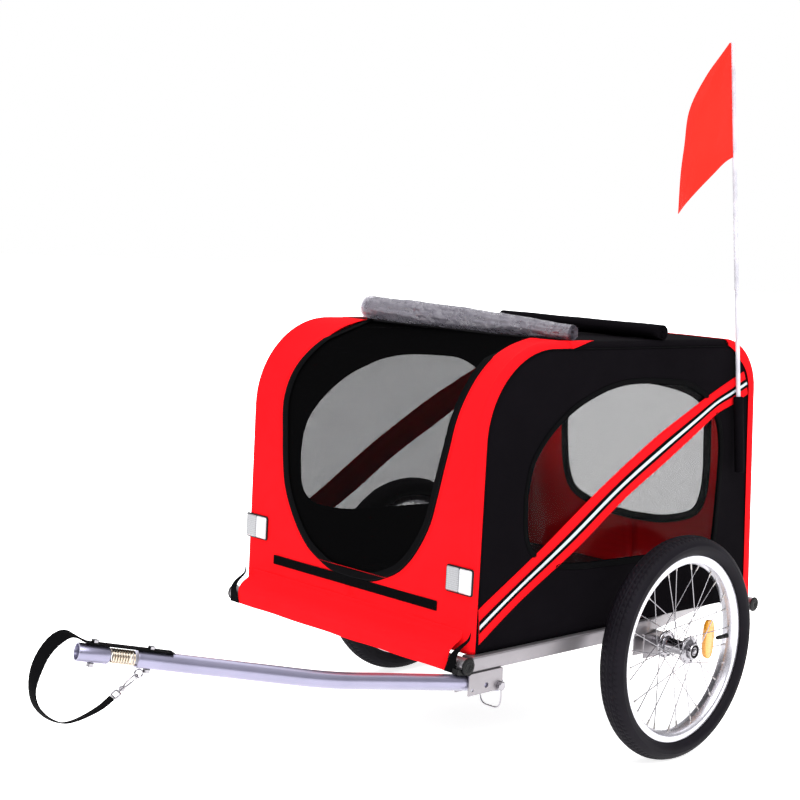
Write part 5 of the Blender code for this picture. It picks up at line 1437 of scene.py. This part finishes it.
def tow_bar():
    """Bent bar from the pin to the spring, with the coupler and the strap."""
    front = bar_frame()
    forward = (front.to_3x3() @ Vector((1, 0, 0))).normalized()
    first = (BAR_BEND - PIN).normalized()
    start = BAR_BEND - first * 0.05
    end = BAR_BEND + forward * 0.05
    path = [PIN - first * BAR_RADIUS, PIN + first * 0.15]
    for index in range(15):
        t = index / 14
        path.append(start * (1 - t) ** 2 + BAR_BEND * 2 * t * (1 - t) + end * t ** 2)
    path.append(BAR_BEND + forward * (SPRING_START - 0.0012))
    tube = sweep(path, circle(BAR_RADIUS, 48))
    end_ring = sweep([path[-1], BAR_BEND + forward * SPRING_START], circle(BAR_RADIUS, 48),
                     scales=[1.0, 0.93])
    piece("silver_tow_bar", joined(tube, end_ring), SILVER, "tow_bar", ["tow_bar_tube"],
          sharp=50)
    coupler(front)
    strap(front, hook(front))


def coupler(front):
    """Tube behind the spring, and the spring itself."""
    middle = (SPRING_START + SPRING_END) / 2
    half = (SPRING_END - SPRING_START) / 2
    lay = front @ turned((middle, 0, 0), pi / 2, "Y")
    tip = COUPLER_TIP - middle
    tube = (
        (0.0, tip - 0.045), (0.0105, tip - 0.045), (0.0105, tip - 0.0006),
        (0.0108, tip), (0.0123, tip), (BAR_RADIUS, tip - 0.0006), (BAR_RADIUS, half + 0.0010),
        (0.0120, half), (0.0, half),
    )
    piece("coupler_sleeve", lathe(tube, 56, lay), SILVER, "coupler", ["coupler_tube"])
    coil = []
    steps = 28
    last = SPRING_TURNS * steps
    radius = 0.0091
    lead = 0.0034
    for index in range(last + 1):
        angle = -pi / 2 + 2 * pi * index / steps
        along = SPRING_START + lead + (SPRING_END - SPRING_START - 2 * lead) * index / last
        coil.append(front @ Vector((along, radius * cos(angle), radius * sin(angle))))
    coil = ([front @ Vector((SPRING_START + 0.0002, 0, -radius))] + coil
            + [front @ Vector((SPRING_END - 0.0002, 0, -radius))])
    spring = piece("flex_spring", sweep(coil, circle(0.0015, 12), up=(1, 0, 0.2)),
                   SPRING_STEEL, None, ["coupler_spring"], sharp=60)
    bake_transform(spring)


def read_table(table, place):
    """Value of a table of pairs at a place, eased between its entries."""
    for (low, first), (high, second) in zip(table, table[1:]):
        if place <= high:
            part = (place - low) / (high - low)
            return first + (second - first) * part * part * (3 - 2 * part)
    return table[-1][1]


def strap(front, clip):
    """Safety strap of webbing, bolted along the bar and looped back to the snap hook."""
    knots = [(along, 0, above) for along, above in STRAP_PATH]
    flat = [Vector(knots[0])]
    for index in range(1, 12):
        flat.append(Vector(knots[0]).lerp(Vector(knots[1]), index / 12))
    line = flat + catmull(knots[1:], 90)
    local = even(line, 140)
    points = [front @ point for point in local]
    across = (front.to_3x3() @ Vector((0, 1, 0))).normalized()
    rows = []
    section = rounded_box(STRAP_WIDTH / 2, STRAP_THICKNESS / 2, 0.0007, 2)
    for index, point in enumerate(points):
        before = points[max(0, index - 1)]
        after = points[min(len(points) - 1, index + 1)]
        way = (after - before).normalized()
        up = way.cross(across).normalized()
        turn = radians(read_table(STRAP_TWIST, index / (len(points) - 1)))
        flat_way = across * cos(turn) - up * sin(turn)
        face = way.cross(flat_way).normalized()
        rib = 1 + 0.02 * sin(index * 2.1)
        rows.append([point + flat_way * (a * rib) - face * b for a, b in section])
    verts, faces = grid(rows, closed=True, flip=True)
    size = len(section)
    faces.append(tuple(range(size)))
    faces.append(tuple((len(rows) - 1) * size + index for index in range(size))[::-1])
    webbing = piece("safety_webbing", (verts, faces), WEBBING, None, ["safety_strap"], sharp=60)
    # Ends of the line from the rear bolt to the ring
    start, end = (front @ Vector((along, 0, above)) + SHIFT for along, above in STRAP_FLEX)
    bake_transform(webbing)
    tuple(start)
    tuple(end)
    round(line_length(points), 3)


def hook(front):
    """Snap hook on the eye of the rear bolt, with the ring that holds the strap."""
    wire = 0.0015
    eye = Vector((REAR_BOLT + 0.0105, 0, -BAR_RADIUS - 0.0058 - 0.0014 - 0.0003))
    down = Vector((0.632, 0, -0.775)).normalized()
    start = eye + down * (0.0058 - 0.0014 - wire - 0.0003)
    side = Vector((0, 1, 0))

    def at(along, over):
        return start + down * along + side * over

    loop = []
    for index in range(25):
        angle = pi / 2 + pi * index / 24
        loop.append(at(0.006 + 0.006 * cos(angle), 0.006 * sin(angle)))
    loop += [at(0.018, -0.0058), at(0.022, -0.0035), at(0.0245, -0.0024)]
    back = [at(0.0245, 0.0024), at(0.022, 0.0040), at(0.012, 0.0062)]
    shapes = [
        sweep(loop, circle(wire, 12), up=(0, 0.2, 1)),
        sweep([at(0.007, 0.0060), at(0.013, 0.0062), at(0.0205, 0.0050)],
              circle(wire * 0.75, 10), up=(0, 0, 1)),
    ]
    shapes.append(sweep(back, circle(wire, 12), up=(0, 0.2, 1)))
    turn = Matrix.Translation(at(0.0245, 0)) @ down.to_track_quat("Z", "Y").to_matrix().to_4x4()
    barrel = ((0.0, 0.0), (0.0032, 0.0), (0.0042, 0.0008), (0.0042, 0.0052),
              (0.0032, 0.0060), (0.0, 0.0060))
    shapes.append(lathe([(r, -h + 0.006) for r, h in barrel], 24, turn))
    shapes.append(lathe(((0.0, 0.0095), (0.0020, 0.0095), (0.0020, 0.0055), (0.0, 0.0055)),
                        16, turn))
    far = 0.034 - wire * 0.4
    ring = [at(far, -0.008), at(far, 0.008), at(far + 0.0015, 0.0100),
            at(far + 0.0085, 0.0100), at(far + 0.0095, 0.0085), at(far + 0.0095, -0.0085),
            at(far + 0.0085, -0.0100), at(far + 0.0015, -0.0100)]
    shapes.append(sweep(ring, circle(wire, 10), closed=True, up=(0, 0, 1)))
    return piece("clip_hook", placed(joined(*shapes), front), BRIGHT, "tow_bar",
                 ["snap_hook"], sharp=50)


def wire_bail():
    """Wire bail of the lock pin, hanging in a loop from one end of the pin to the other."""
    head = 0.0127 + 0.0003 + 0.0025 + 0.0003
    outer = head + 0.0042
    inner = -(0.0155 + 0.0125) + 0.0030
    drop = 0.038
    knots = (
        (0, outer, -0.0078), (0, outer, -drop * 0.60), (0, outer - 0.0030, -drop * 0.86),
        (0, outer - 0.0100, -drop * 0.985), (0, (outer + inner) / 2, -drop * 1.0),
        (0, inner + 0.0100, -drop * 0.985), (0, inner + 0.0030, -drop * 0.86),
        (0, inner, -drop * 0.60), (0, inner, -0.0043),
    )
    line = [Vector(point) + PIN for point in catmull(knots, 60)]
    piece("wire_bail", sweep(line, circle(0.0013, 12), up=(1, 0, 0)), BRIGHT, "bail",
          ["lock_bail"], sharp=60)


def flag():
    """Pole in its sleeve, and the pennant with ripples that grow away from the pole."""
    way = (POLE_TOP - SLEEVE_TOP).normalized()
    turn = way.to_track_quat("Z", "Y").to_matrix().to_4x4()
    place = Matrix.Translation(SLEEVE_TOP) @ turn
    length = (POLE_TOP - SLEEVE_TOP).length
    pole = ((0.0, length), (0.0018, length - 0.0002), (0.0034, length - 0.0016),
            (POLE_RADIUS, length - 0.0040), (POLE_RADIUS, -0.1297), (0.0, -0.1297))
    piece("white_pole", lathe(pole, 24, place), WHITE, "flag", ["flag_pole"], sharp=50)
    sleeve = ((0.0046, 0.0002), (0.0060, 0.0010), (0.0088, 0.0), (0.0090, -0.004),
              (0.0090, -0.139), (0.0080, -0.140), (0.0, -0.140), (0.0, -0.130),
              (0.0043, -0.130))
    piece("pole_pocket", lathe(sleeve, 32, place, closed=True), BLACK, "frame",
          ["flag_sleeve"], sharp=50)
    top = POLE_TOP - way * 0.003
    fly_table = ((0.000, 0.000), (0.064, 0.064), (0.111, 0.133), (0.121, 0.200),
                 (0.128, 0.270), (0.131, 0.3135))
    fly = even(catmull([(x, 0, -drop) for x, drop in fly_table], 80), 60)
    rows = []
    for index, edge in enumerate(fly):
        t = index / (len(fly) - 1)
        at_pole = top - way * (0.205 * t) + Vector((POLE_RADIUS + 0.0006, 0, 0))
        at_fly = top + Vector((POLE_RADIUS + 0.0046, 0, 0)) + edge
        row = []
        for column in range(37):
            s = column / 36
            sway = 0.012 * sin(s * pi * 2.2) * t * s
            droop = 0.008 * sin(s * pi * 2) * t
            fine = wavy((s * 0.2, t * 0.25, 0), 0.006, 16.0, 4.0) * s * min(1, t * 3)
            row.append(at_pole.lerp(at_fly, s) + Vector((0, sway + fine, droop)))
        rows.append(row)
    pennant = piece("pennant_cloth", grid(rows), ORANGE, "flag", ["flag_pennant"],
                    thick=0.0006, sharp=80)


def studio_world():
    """White behind the trailer, and a tent of light that is darker near the floor."""
    world = bpy.data.worlds.new("studio")
    world.use_nodes = True
    tree = world.node_tree
    behind = tree.nodes["Background"]
    behind.inputs["Color"].default_value = (1, 1, 1, 1)
    tent = node(tree, "Background")
    place = node(tree, "TexCoord")
    height = node(tree, "SeparateXYZ", [(0, place, "Generated")])
    shades = ramp_node(tree, height, "Z", (
        (0.0, (0.34, 0.34, 0.36)), (0.30, (0.52, 0.52, 0.54)), (0.75, (1.0, 1.0, 1.0))
    ))
    tree.links.new(shades.outputs["Color"], tent.inputs["Color"])
    ray = node(tree, "LightPath")
    mixed = node(tree, "MixShader", [
        ("Fac", ray, "Is Camera Ray"), (1, tent, "Background"), (2, behind, "Background")
    ])
    tree.links.new(mixed.outputs["Shader"], tree.nodes["World Output"].inputs["Surface"])
    bpy.context.scene.world = world


def studio():
    """White floor and three soft lamps."""
    floor = bpy.data.meshes.new("studio_floor")
    floor.from_pydata([(-30, -30, 0), (30, -30, 0), (30, 30, 0), (-30, 30, 0)], [],
                      [(0, 1, 2, 3)])
    material, _, shader = start_material("studio_floor", 0.9)
    shader.inputs["Base Color"].default_value = (0.95, 0.95, 0.95, 1.0)
    shader.inputs["Specular IOR Level"].default_value = 0.0
    shader.inputs["Emission Color"].default_value = (1.0, 1.0, 1.0, 1.0)
    shader.inputs["Emission Strength"].default_value = 0.8
    floor.materials.append(material)
    obj = bpy.data.objects.new("studio_floor", floor)
    bpy.context.scene.collection.objects.link(obj)
    studio_world()
    for name, rise, turn, strength, spread in (
        ("key", 52, 62, 2.1, 40), ("fill", 60, -20, 1.3, 60), ("rear", 48, 200, 0.9, 50),
    ):
        light = bpy.data.lights.new(name, "SUN")
        light.energy = strength
        light.angle = radians(spread)
        lamp = bpy.data.objects.new(name, light)
        bpy.context.scene.collection.objects.link(lamp)
        source = Vector((cos(radians(rise)) * cos(radians(turn)),
                         cos(radians(rise)) * sin(radians(turn)), sin(radians(rise))))
        lamp.rotation_euler = source.to_track_quat("Z", "Y").to_euler()
    view = bpy.context.scene.view_settings
    view.view_transform = "Standard"
    view.look = "None"


def camera():
    """The photograph's camera, found from the frame's straight edges in it."""
    yaw, pitch, roll = -2.3401, -0.1039, 0.052
    look = Vector((cos(pitch) * cos(yaw), cos(pitch) * sin(yaw), sin(pitch)))
    level = look.cross(Vector((0, 0, 1))).normalized()
    upright = level.cross(look)
    right = level * cos(roll) + upright * sin(roll)
    up = upright * cos(roll) - level * sin(roll)
    data = bpy.data.cameras.new("camera")
    data.sensor_width = 36.0
    data.lens = 36.0 * 1575.63 / 800
    obj = bpy.data.objects.new("camera", data)
    bpy.context.scene.collection.objects.link(obj)
    turn = Matrix((right, up, -look)).transposed().to_4x4()
    obj.matrix_world = Matrix.Translation((1.82960, 1.94974, 0.89680)) @ turn
    bpy.context.scene.camera = obj


camera()
studio()
front_cabin()
rear_cabin()
roof()
for side, label in SIDES:
    side_cabin(label, side)
    rear_edge(label, side)
    band(label, side)
    wheel(label, side)
front_trim()
rain_cover()
roof_roll()
rails()
cross_tubes()
dressed_nodes()
tow_bar()
wire_bail()
flag()
